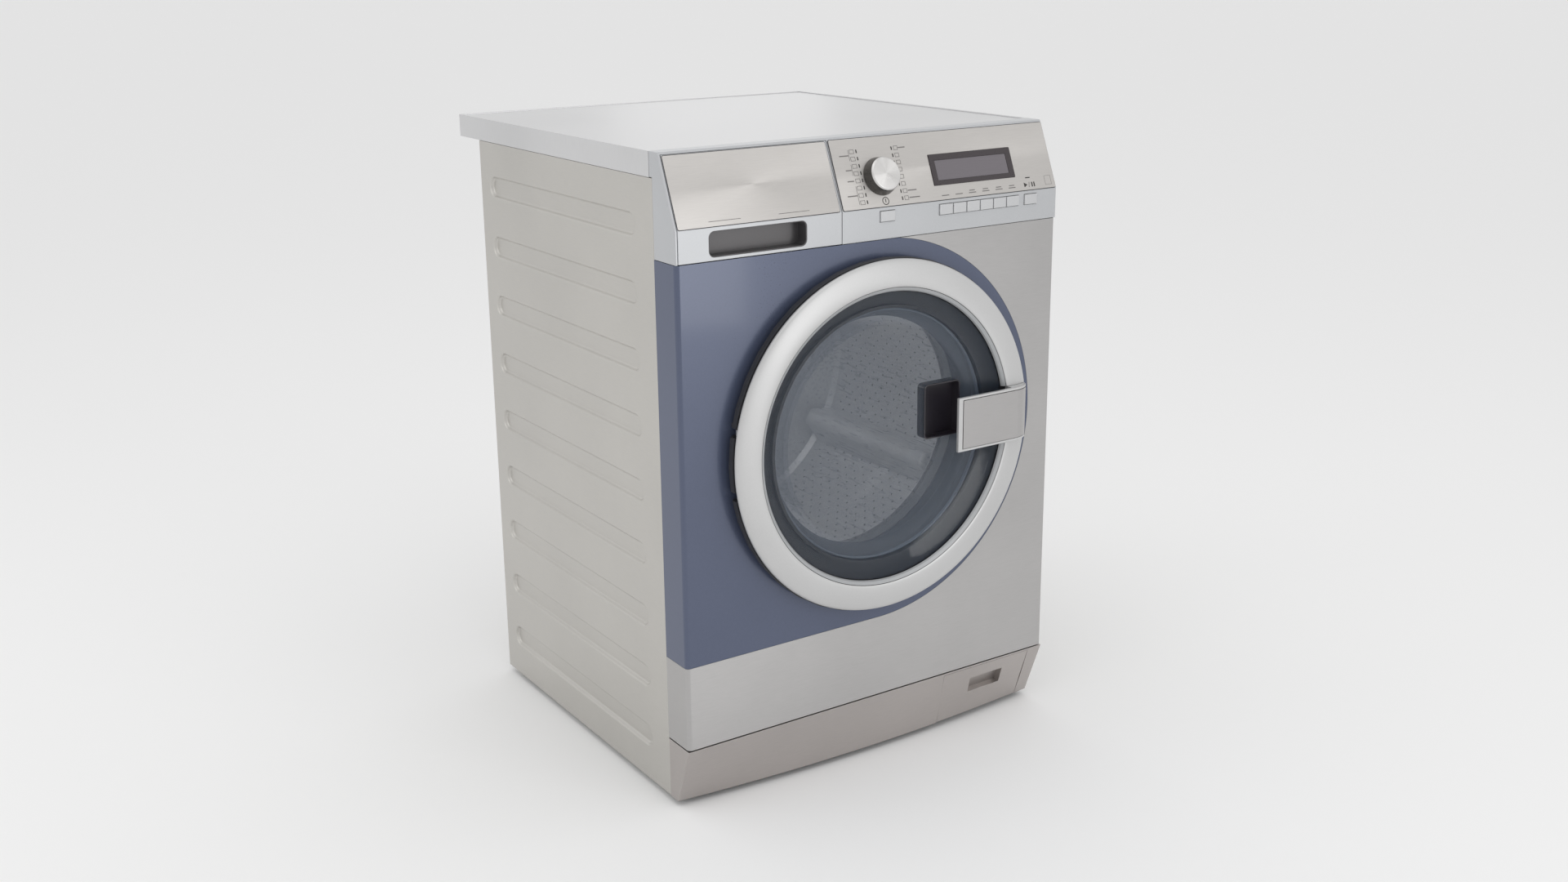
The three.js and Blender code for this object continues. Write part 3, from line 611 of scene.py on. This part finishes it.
# %% Display
bezel = carve(plate("display_bezel", (93, 230), (-2.2, -0.3), (20.5, 61.5), 1.2),
              block("window", (101, 221), (-3, -1.3), (26.5, 53.5)))
finished(leaned(bezel), bezel_plastic, "cabinet", "display", slot="display_black", edge=0.3)
window = plate("display_window", (101.3, 220.7), (-1.6, -1.28), (26.8, 53.2), 0.8)
finished(leaned(window), screen_grey, "cabinet", slot="display_black", edge=0.1)

# %% [markdown]
# ## Program knob
# A dark tapered skirt carries a disc of spun aluminium. A lathe leaves fine rings that catch a fan of
# light, so the disc's finish is built round its centre: rings from the distance, and the fan, a painted
# highlight, from the angle.

# %% Spun finish and knob
knob_x, knob_up = 10.5, 40


def spun(name, centre):
    material = grained(name, (0.80, 0.79, 0.77), 0.9, 0.30, (40, 40, 40), 0.02, 0.02)
    nodes, links = material.node_tree.nodes, material.node_tree.links
    shader = nodes["Principled BSDF"]
    spot = nodes.new("ShaderNodeTexCoord")
    about = nodes.new("ShaderNodeMapping")
    about.vector_type = "TEXTURE"
    about.inputs["Location"].default_value = centre
    about.inputs["Rotation"].default_value = (pi / 2 - slope_lean, 0, 0)
    links.new(spot.outputs["Object"], about.inputs["Vector"])
    # Painted highlight: the colour turns lighter and darker by angle round the centre, standing in for the
    # fan of light on the rings.
    fan = nodes.new("ShaderNodeTexGradient")
    fan.gradient_type = "RADIAL"
    links.new(about.outputs["Vector"], fan.inputs["Vector"])
    light = nodes.new("ShaderNodeTexNoise")
    light.noise_dimensions = "1D"
    light.inputs["Scale"].default_value = 5
    light.inputs["Detail"].default_value = 2
    links.new(fan.outputs["Fac"], light.inputs["W"])
    rings = nodes.new("ShaderNodeTexWave")
    rings.wave_type = "RINGS"
    rings.rings_direction = "Z"
    rings.inputs["Scale"].default_value = 900
    rings.inputs["Distortion"].default_value = 0.5
    links.new(about.outputs["Vector"], rings.inputs["Vector"])
    tone = nodes.new("ShaderNodeValToRGB")
    tone.color_ramp.elements[0].position = 0.35
    tone.color_ramp.elements[1].position = 0.62
    tone.color_ramp.elements[0].color = (0.60, 0.59, 0.58, 1)
    tone.color_ramp.elements[1].color = (0.69, 0.68, 0.67, 1)
    links.new(light.outputs["Fac"], tone.inputs["Fac"])
    links.new(tone.outputs["Color"], shader.inputs["Base Color"])
    bump = nodes["Bump"]
    bump.inputs["Strength"].default_value = 0.15
    links.new(rings.outputs["Fac"], bump.inputs["Height"])
    return material


knob_centre = leaned(block("probe", (knob_x - 1, knob_x + 1), (-1, 1), (knob_up - 1, knob_up + 1)))
centre_point = sum((v.co for v in knob_centre.data.vertices), Vector()) / 8
bpy.data.objects.remove(knob_centre)
spun_aluminium = spun("spun_aluminium", centre_point)
knob_dark = grained("knob_dark", (0.10, 0.095, 0.09), 0.7, 0.3, (400, 30, 400), 0.1, 0.1)
skirt_profile = [(0, -15.2), (21.2, -15.2), (22.2, -14), (25, -1.5), (4, -1.5), (4, 14), (0, 14)]
skirt = turned("knob_skirt", skirt_profile, (knob_x, knob_up), 96)
finished(leaned(skirt), knob_dark, "knob", "program_knob", slot="ring_silver", edge=0.4)
face_profile = [(0, -16.7), (20, -17), (20.7, -16.7), (22, -14.9), (21.4, -14.4), (0, -14.9)]
face = turned("knob_face", face_profile, (knob_x, knob_up), 96)
finished(leaned(face), spun_aluminium, "knob", slot="ring_silver", edge=0.25, segments=3)

# %% [markdown]
# ## Push buttons
# Eight buttons share one shape: a cap with softly rounded edges, and a wider foot behind the panel that
# holds it in, dark as painted shade in the gap around the cap. One function makes it at three widths.

# %% Buttons
def push_button(node, x):
    trim, foot_from = 0.25, 2.9
    cap = block(node + "_cap", (x[0] + trim, x[1] - trim), (-2.2, 5.5), (743 + trim, 757 - trim))
    edit(cap, "edges", lambda a, b: max(a.y, b.y) < 0)
    bpy.ops.mesh.bevel(offset=0.0011, segments=4, affect="EDGES")
    close()
    for up in (-1, 1):
        edit(cap, "faces", lambda c, n: n.z * up > 0.9)
        bpy.ops.mesh.bisect(plane_co=place(0, foot_from, 0), plane_no=(0, 1, 0))
        close()
        edit(cap, "faces", lambda c, n: n.z * up > 0.9 and c.y > foot_from)
        pull(z=up * 2)
        close()
    finished(cap, button_plastic, node, node, slot="silver_plastic", smooth=40)
    # The foot's faces are dark: painted shade for the gap around the cap.
    cap.data.materials.append(dark_plastic)
    for face in cap.data.polygons:
        face.material_index = int(millimetres(face.center).y > foot_from - 0.2)


for node, span in button_spans.items():
    push_button(node, span)

# %% [markdown]
# ## Printed marks
# Marks are ink a few hundredths of a millimetre thick. As flat slabs they stay sharp from any distance,
# which ink in a texture wouldn't. Words are left out: short bars stand where a caption would be.

# %% Marks on the control plate
ink_y = (-1.22, -1.08)


def bar(x, up, wide, high):
    return block("ink", (x - wide / 2, x + wide / 2), ink_y, (up - high / 2, up + high / 2))


def hoop(x, up, radius, line):
    y = ink_y
    ring = [(radius, y[0]), (radius, y[1]), (radius - line, y[1]), (radius - line, y[0])]
    return turned("ink", ring, (x, up), 48)


def frame_mark(x, up, wide, high, line):
    inside = block("ink", (x - wide / 2 + line, x + wide / 2 - line), (-3, 3),
                   (up - high / 2 + line, up + high / 2 - line))
    return carve(bar(x, up, wide, high), inside)


dark_ink = [hoop(11, 8, 5.2, 1.0), bar(11, 8.4, 1.1, 4.8), bar(251, 17.7, 8, 1.4)]
tick_heights = [9 + i * 66 / 7 for i in range(8)]
for up in tick_heights:
    dark_ink += [bar(-17.4, up, 1.7, 4.6), bar(38, up, 1.7, 4.6)]
dark_ink += [bar(x, 8.2, 1.9, 6.4) for x in (256.4, 260.2)]
bpy.ops.mesh.primitive_cylinder_add(vertices=3, radius=0.0038, depth=0.00014, rotation=(pi / 2, pi / 2, 0),
                                    location=place(244.4, sum(ink_y) / 2, 8.2))
dark_ink.append(settle(bpy.context.object, "ink"))
slash = bar(250.4, 8.2, 0.6, 7)
edit(slash, "points", lambda p: p.z > 8.2)
slide(x=1.6)
close()
dark_ink.append(slash)
marks = merged(*dark_ink)
marks.name = "dark_marks"
finished(leaned(marks), print_grey, "cabinet")

pale_ink = [frame_mark(285.5, 11.7, 11, 12.5, 0.35)]
for up in tick_heights:
    pale_ink += [frame_mark(-24.6, up, 7.2, 5.6, 0.65), frame_mark(44.6, up, 6.6, 5.6, 0.65)]
pale_ink += [bar(-29.8, up, 0.6, high) for up, high in ((70.3, 14), (51.4, 14), (18.5, 24))]
pale_ink += [bar(x, up, wide, 1.5) for x, up, wide in (
    (-37.5, 70.3, 14), (-35, 51.4, 9), (-35.5, 37.3, 10), (-37.8, 18.5, 15),
    (56, 18.4, 14), (57.5, 9, 17), (54, 75, 11))]
for i in range(6):
    middle = options_from + (i + 0.5) * option_pitch
    pale_ink.append(bar(middle, 6.4, 12, 1.3))
    if i > 1:
        pale_ink.append(bar(middle, 9.4, 9, 1.3))
pale = merged(*pale_ink)
pale.name = "pale_marks"
finished(leaned(pale), print_pale, "cabinet")
lines = merged(*[bar(x, 7, 45, 0.7) for x in (-228.5, -129)])
lines.name = "drawer_lines"
finished(leaned(lines), print_pale, "drawer")
print("printed marks", len(marks.data.polygons) + len(pale.data.polygons), "faces")

# %% [markdown]
# ## Door ring and frame
# The ring is a satin silver moulding with a soft, almost flat crown and an inner lip in a darker grey, the
# painted shade of its inner wall. It is spun from its cross-section and smoothed by subdivision, then
# notched for the handle and the hinge arms. The dark frame behind it is what shows in the shadow around the
# ring.

# %% Ring, lip and frame
ring_profile = [(235, -19), (234.8, -21), (233.8, -23), (231.6, -24.5), (227.5, -25.7), (220, -27),
                (211, -28), (203, -28), (199.6, -27.4), (199, -26.4), (201, -25.8), (211, -25.4),
                (223, -23.6), (230, -21), (231.5, -19)]


def handle_notch():
    return block("notch", (188, 242), (-44, -8), (429.6, 504.4))


ring = turned("ring_moulding", ring_profile, steps=160)
modify(ring, "SUBSURF", levels=1, render_levels=1)
carve(ring, handle_notch(), block("hinge_notch", (-238, -212), (-20, -8), (411, 523)))
finished(ring, ring_silver, "door", "door_ring", slot="ring_silver", smooth=40)
# The lip is the ring's inner wall, and its darker grey is painted shade.
lip_profile = [(198.8, -26.6), (198.4, -27), (194.6, -24.6), (193.2, -21.9), (196, -21.7), (199, -24.6)]
lip = turned("ring_lip", lip_profile, steps=160)
carve(lip, handle_notch())
finished(lip, lip_shaded_grey, "door", slot="ring_silver", edge=0.3, smooth=30)
finished(copy_of("door_frame", "frame_moulding"), dark_plastic, "door", "door_frame", slot="dark_plastic",
         smooth=30)

# %% [markdown]
# ## Smoked cover, finger pocket and glass bowl
# The cover is one dished sheet of smoked plastic over the whole opening, with a hole for the fingers
# behind the handle. The pressed glass bowl behind it closes the drum, and a ring of less clear glass over
# its flange paints the light line along that edge.
# All of them are spun or rounded boxes, with walls of their own, because both faces of a clear part
# are seen.

# %% Cover, pocket and bowl
cover_profile = [(0, -12), (148, -12), (160, -12.6), (170, -14.8), (182, -19), (188, -20.4), (192.2, -20.7),
                 (192.2, -17.8), (188, -17.5), (181, -16.2), (169, -12), (159, -9.7), (147, -9), (0, -9)]
cover = turned("cover_sheet", cover_profile, steps=160)
carve(cover, round_corners(block("hole", (65.7, 126.3), (-30, 10), (446.7, 522.3)), 6, 1))
finished(cover, tinted_cover, "door", "door_cover", slot="tinted_cover", smooth=40)
pocket = round_corners(block("finger_pocket", (66, 126), (-12.8, 3), (447, 522)), 6, 1)
edit(pocket, "faces", lambda c, n: n.y < -0.9)
bpy.ops.mesh.inset(thickness=0.002)
pull(y=13.8)
close()
finished(pocket, smoked_pocket, "door", "handle_pocket", slot="dark_plastic", edge=0.5, smooth=40)
bowl_profile = [(0, 94), (60, 93.6), (99, 92), (116, 89.6), (126, 85.5), (131.6, 78), (138, 40),
                (145.5, -3.8), (147.5, -5), (166, -5), (168, -4), (168, -2), (166, -1), (150.5, -1),
                (148, 12), (143, 46), (138, 80), (133, 88.5), (124, 94), (100, 97), (60, 98.6), (0, 99)]
finished(turned("glass_bowl", bowl_profile, steps=128), bowl_glass, "door", "door_glass", slot="bowl_glass",
         smooth=50)
# Painted highlight: a nearly opaque ring over the bowl's flange stands in for the light along its edge.
rim_highlight = turned("glass_rim_highlight", [(165.6, -5.4), (168.4, -5.4), (168.4, -0.8), (165.6, -0.8)], steps=160)
rim_highlight_glass = clear_part("rim_highlight_glass", (0.30, 0.36, 0.44), 0.75, 0.08)
finished(rim_highlight, rim_highlight_glass, "door", slot="bowl_glass", edge=0.6)

# %% [markdown]
# ## Door handle
# The handle is a flat bar that stands off the cover and curls down over the ring at its right end. A
# brushed plate is let into its front, with a fine dark groove along its left and top edges.

# %% Handle and inlay
handle_outline = [(102, -40.8), (203, -40.8), (211, -39.7), (218, -37.2), (224, -33.4), (228, -28.6),
                  (229.5, -24), (229.5, -19.5), (197, -22), (197, -36), (102, -36)]
handle = drawn("handle_bar", handle_outline, (430, 504))
inlay_outline = [(110, -41), (203, -41), (211.1, -39.9), (218.2, -37.4), (224.2, -33.6), (228.2, -28.75),
                 (229.75, -24), (229.75, -19.6), (228.5, -19.6), (227.5, -24), (223.5, -30.5),
                 (216.5, -35.2), (203, -38.4), (110, -38.4)]
bed_outline = [(109.2, -43), (204, -43), (213, -42), (221, -39), (227, -35), (232, -29), (233, -19),
               (228.3, -19), (227.3, -24), (223.3, -30.3), (216.4, -35), (203, -38.2), (109.2, -38.2)]
carve(handle, drawn("bed", bed_outline, (433.2, 500.8)))
finished(handle, ring_silver, "handle", "door_handle", slot="ring_silver", edge=0.7, segments=3, smooth=30)
inlay = drawn("handle_inlay", inlay_outline, (433.8, 500.2))
finished(inlay, handle_steel, "handle", slot="fascia_steel", edge=0.3, smooth=30)
hook_z = (459, 469)
hook = block("latch_hook", (206, 211), (-22, 13), hook_z)
carve(hook, block("tip", (206, 216), (9, 13), hook_z), how="UNION")
trunnion = block("trunnion", (220.3, 223.7), (-20.7, -17.3), (426.8, 507.2))
finished(merged(hook, trunnion), zinc_steel, "handle", slot="zinc_steel", edge=0.6)

# %% [markdown]
# ## Bellows and drum
# Through the glass one sees a rubber bellows and a bright steel drum, both spun from a profile.

# %% Bellows
gasket_profile = [(186, 1.8), (186, 5), (180, 6), (180, 20), (190, 28), (190, 36), (178, 42), (178, 58),
                  (174, 58), (174, 39), (186, 34), (186, 30), (176, 22.5), (154, 22.5), (154, 18.5),
                  (174, 18.5), (174, 1.8)]
finished(turned("bellows", gasket_profile, steps=128), gasket_rubber, "cabinet", "door_gasket",
         slot="gasket_rubber", edge=1.2, segments=3, smooth=30)

# %% [markdown]
# ## Drum skin and paddles
# Each of the three paddles is a block drawn in towards its crest and rounded there.

# %% Drum skin and paddles
shell_profile = [(172, 80), (175, 80), (232, 80), (240, 88), (240, 420), (232, 428), (20, 428), (20, 426.8),
                 (231.6, 426.8), (238.8, 419.6), (238.8, 88.4), (231.6, 81.2), (172, 81.2)]
shell = turned("drum_shell", shell_profile, steps=160)
finished(shell, drum_steel, "drum", "drum", slot="drum_steel", edge=0.8, segments=3, smooth=20)


def around_drum(piece, degrees):
    """A copy turned about the drum's axis."""
    copy = piece.copy()
    copy.data = piece.data.copy()
    bpy.context.scene.collection.objects.link(copy)
    turn = Matrix.Translation(place(0, 0, door_z)) @ Matrix.Rotation(radians(degrees), 4, "Y")
    copy.matrix_world = turn @ Matrix.Translation(-place(0, 0, door_z))
    bpy.context.view_layer.update()
    return settle(copy, piece.name)


paddle_y, crest, root = (98, 410), door_z + 182, door_z + 237.5
paddle = block("paddle", (-30, 30), paddle_y, (crest, root))
edit(paddle, "points", lambda p: p.z < crest + 18)
bpy.ops.transform.resize(value=(0.34, 0.93, 1), center_override=place(0, sum(paddle_y) / 2, crest))
close()
edit(paddle, "edges", lambda a, b: max(a.z, b.z) < crest + 18)
bpy.ops.mesh.bevel(offset=0.008, segments=5, affect="EDGES")
close()
paddles = merged(*[around_drum(paddle, -turn) for turn in (0, 120, 240)])
paddles.name = "drum_paddles"
bpy.data.objects.remove(paddle)
finished(paddles, drum_steel, "drum", slot="drum_steel", edge=1.5, segments=3, smooth=35)

# %% [markdown]
# ## Punched holes
# One punched rim with a dark floor, painted shade where a hole looks through the skin, is repeated along
# the drum's skin and then around it. A second grid lies half a step away in both directions.

# %% Punched holes
drum_r, skin = 240, 1.2
hole_radius, hole_pitch, holes_around = 2.2, 23, 72


def punched(y, count_along, start):
    """One rim with a dark floor of painted shade on the drum's skin, repeated along it and around it."""
    hole_z = door_z - drum_r + skin
    bpy.ops.mesh.primitive_cylinder_add(vertices=12, radius=hole_radius / 1000, depth=0.0008,
                                        location=place(0, y, hole_z + 0.2))
    hole = settle(bpy.context.object, "hole_row")
    edit(hole, "faces", lambda c, n: n.z > 0.9)
    bpy.ops.mesh.inset(thickness=0.0007)
    pull(z=-0.5)
    close()
    # The floor of each hole is black: painted shade for the dark seen through a hole.
    hole.data.materials.append(drum_steel)
    hole.data.materials.append(black_steel)
    for face in hole.data.polygons:
        face.material_index = 1 if face.normal.z > 0.9 and len(face.vertices) == 12 else 0
    turn = bpy.data.objects.new("turn", None)
    bpy.context.scene.collection.objects.link(turn)
    one_step = Matrix.Rotation(2 * pi / holes_around, 4, "Y")
    turn.matrix_world = (Matrix.Translation(place(0, 0, door_z)) @ one_step
                         @ Matrix.Translation(-place(0, 0, door_z)))
    bpy.context.view_layer.update()
    modify(hole, "ARRAY", count=count_along, use_relative_offset=False, use_constant_offset=True,
           constant_offset_displace=(0, hole_pitch / 1000, 0))
    modify(hole, "ARRAY", count=holes_around, use_relative_offset=False, use_object_offset=True,
           offset_object=turn)
    bpy.data.objects.remove(turn)
    turned_hole = around_drum(hole, start)
    bpy.data.objects.remove(hole)
    return turned_hole


holes_from, half_turn = 100, 180 / holes_around
holes = merged(punched(holes_from, 14, 0), punched(holes_from + hole_pitch / 2, 13, half_turn))
holes.name = "drum_holes"
only(holes)
bpy.ops.object.shade_smooth_by_angle(angle=radians(30))
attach(holes, "drum")
print("drum holes", len(holes.data.polygons), "faces")

# %% [markdown]
# ## Feet
# Each levelling foot is a rubber pad on a zinc stud. The pad is a low cone with a softened rim, which
# spreads the load and lets the machine be turned up or down by hand.

# %% Feet
for node in ("foot_front_left", "foot_front_right", "foot_rear_left", "foot_rear_right"):
    low, high = (millimetres(v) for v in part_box(node))
    x, y = (low.x + high.x) / 2, (low.y + high.y) / 2
    bpy.ops.mesh.primitive_cone_add(vertices=48, radius1=0.020, radius2=0.017, depth=0.008,
                                    location=(x / 1000, place(0, y, 0).y, 0.004))
    pad = bpy.context.object
    finished(settle(pad, node + "_pad"), black_rubber, node, node, slot="foot_rubber", edge=1.0)
    bpy.ops.mesh.primitive_cylinder_add(vertices=24, radius=0.005, depth=0.03, location=place(x, y, 22.9))
    stud = settle(bpy.context.object, node + "_stud")
    finished(stud, zinc_steel, node, slot="zinc_steel", edge=0.4)

# %% [markdown]
# ## Drawer and its housing
# The tray and its housing are thin white mouldings. Their plain solids already have the compartments, so
# they only need soft edges.

# %% Drawer tray and housing
for node, name, body in (("drawer_tray", "tray_moulding", "drawer"),
                         ("dispenser_housing", "housing_moulding", "cabinet")):
    finished(copy_of(node, name), white_plastic, body, node, slot="white_plastic", edge=0.5)

# %% [markdown]
# ## Back
# The back is a plain sheet held by screws, with a plate over the belt and four caps where the drum was
# bolted for transport. One function makes every screw, and one profile every cap.

# %% Back sheet, plate, screws and caps
back_y = 554.6
back_sheet = copy_of("rear_panel", "back_sheet")
finished(back_sheet, side_steel, "cabinet", "rear_panel", slot="side_steel", edge=0.3)
belt_plate = round_corners(block("belt_plate", (-150, 150), (back_y, back_y + 2), (150, 640)), 40, 1, 10)
edit(belt_plate, "faces", lambda c, n: n.y > 0.9)
bpy.ops.mesh.inset(thickness=0.012)
bpy.ops.mesh.inset(thickness=0.004)
slide(y=3)
close()
finished(belt_plate, side_steel, "cabinet", slot="side_steel", edge=0.8, segments=3, smooth=25)


def screw(x, z, y):
    head = rod("screw", 4.5, (y, y + 2.2), (x, z), 20)
    edit(head, "faces", lambda c, n: n.y > 0.9)
    bpy.ops.mesh.inset(thickness=0.0012)
    slide(y=0.5)
    close()
    return carve(head, block("slot", (x - 0.7, x + 0.7), (y + 1.4, y + 5), (z - 3, z + 3)),
                 block("slot", (x - 3, x + 3), (y + 1.4, y + 5), (z - 0.7, z + 0.7)))


screws = [screw(x, z, back_y - 0.1) for x in (-287, 287) for z in (40, 230, 420, 610, 800)]
screws += [screw(x, z, back_y + 1.9) for x in (-144, 144) for z in (200, 395, 590)]
heads = merged(*screws)
heads.name = "back_screws"
finished(heads, zinc_steel, "cabinet", slot="zinc_steel", edge=0.2)
cap_profile = [(0, 558), (8, 558), (9, 557), (9, 556), (17, 556), (18, 555), (18, back_y), (0, back_y)]
caps = merged(*[turned("cap", cap_profile, (x, z), 32) for x in (-210, 210) for z in (300, 640)])
caps.name = "transport_caps"
finished(caps, grey_plastic, "cabinet", slot="grey_plastic", edge=0.5)

# %% [markdown]
# ## The rest of the solids
# What is left is seen only through openings or not at all. It keeps its plain solid and gets the finish
# of the real part.

# %% Finishes on the remaining solids
rest = {
    white_plastic: ["base_tray", "drain_pump", "door_lock", "inlet_valve"],
    zinc_steel: ["hinge_bracket", "hinge_pin", "heater", "bearing_front", "bearing_rear", "motor_pulley"],
    black_steel: ["spring_left", "spring_right", "damper_cylinder_left", "damper_cylinder_right", "motor"],
    grey_plastic: ["tub_front", "tub_rear", "filter_cap"],
    cast_aluminium: ["drum_spider", "drum_pulley", "damper_rod_left", "damper_rod_right"],
    concrete: ["counterweight"],
    black_rubber: ["drive_belt"],
}
for material, names in rest.items():
    for node in names:
        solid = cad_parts[node]
        solid.data.materials.clear()
        solid.data.materials.append(material)
print("solids with a finish", sum(len(names) for names in rest.values()))

# %% [markdown]
# ## Floor
# The machine stands on a wide pale floor, which is staging and not part of it.

# %% Floor
bpy.ops.mesh.primitive_plane_add(size=600, location=(0, 0, -0.0005))
floor = settle(bpy.context.object, "floor")
paper = bpy.data.materials.new("paper")
paper.use_nodes = True
paper_shader = paper.node_tree.nodes["Principled BSDF"]
paper_shader.inputs["Base Color"].default_value = (0.91, 0.91, 0.91, 1)
paper_shader.inputs["Roughness"].default_value = 0.9
floor.data.materials.append(paper)

# %% [markdown]
# ## Sky and lights
# The sky is even and pale. Soft boxes in front, at the left and above give the plastics their shape. Two
# more show only in the gloss of a surface, which gives the steel its long gradients. A small lamp lights
# the drum, which would otherwise be dark behind its door.

# %% Sky and lights
room_brightness = 0.84
world = bpy.data.worlds.new("studio")
bpy.context.scene.world = world
world.use_nodes = True
world.node_tree.nodes["Background"].inputs["Color"].default_value = (room_brightness,) * 3 + (1,)
world.node_tree.nodes["Background"].inputs["Strength"].default_value = 1


def soft_box(name, place_at, size, brightness, glossy_only=False):
    """A box light that looks at the machine, its brightness on the same scale as the room's."""
    lamp = bpy.data.lights.new(name, "AREA")
    lamp.shape = "RECTANGLE"
    lamp.size, lamp.size_y = size
    lamp.energy = brightness * pi * size[0] * size[1]
    holder = bpy.data.objects.new(name, lamp)
    bpy.context.scene.collection.objects.link(holder)
    holder.location = place_at
    aim = Vector((0, 0, 0.5)) - Vector(place_at)
    holder.rotation_euler = aim.to_track_quat("-Z", "Y").to_euler()
    holder.visible_camera = False
    holder.visible_diffuse = not glossy_only


soft_box("front_box", (0.9, -3.3, 1.7), (1.4, 1.4), 1.5)
soft_box("front_glow", (0.85, -2.6, 0.5), (0.7, 0.9), 3.6, glossy_only=True)
soft_box("left_box", (-3.0, 1.0, 1.5), (1.4, 1.2), 1.0)
soft_box("back_glow", (1.9, 3.2, 1.5), (0.8, 1.2), 0.3, glossy_only=True)
soft_box("top_box", (-0.6, -0.8, 3.2), (2.4, 2.4), 0.6)
drum_lamp = bpy.data.lights.new("drum_lamp", "POINT")
drum_lamp.shadow_soft_size = 0.06
drum_lamp.energy = 0.2
drum_light = bpy.data.objects.new("drum_lamp", drum_lamp)
bpy.context.scene.collection.objects.link(drum_light)
drum_light.location = place(-40, 200, 560)
drum_light.visible_camera = False

# %% [markdown]
# ## Camera
# The camera stands to the front left, a little above the worktop, and is turned, dipped and rolled in
# that order.

# %% Camera
bpy.ops.object.camera_add(location=(-1.2544, -1.9628, 1.0855))
camera = bpy.context.object
pan, dip, roll = -33.466, 15.705, -0.594
aimed = Matrix.Rotation(radians(pan), 3, "Z") @ Matrix.Rotation(radians(90 - dip), 3, "X")
camera.rotation_euler = (aimed @ Matrix.Rotation(radians(roll), 3, "Z")).to_euler()
camera.data.sensor_width = 36
camera.data.lens = 38.181
camera.data.shift_y = -0.02
bpy.context.scene.camera = camera
bpy.context.scene.view_settings.view_transform = "Standard"
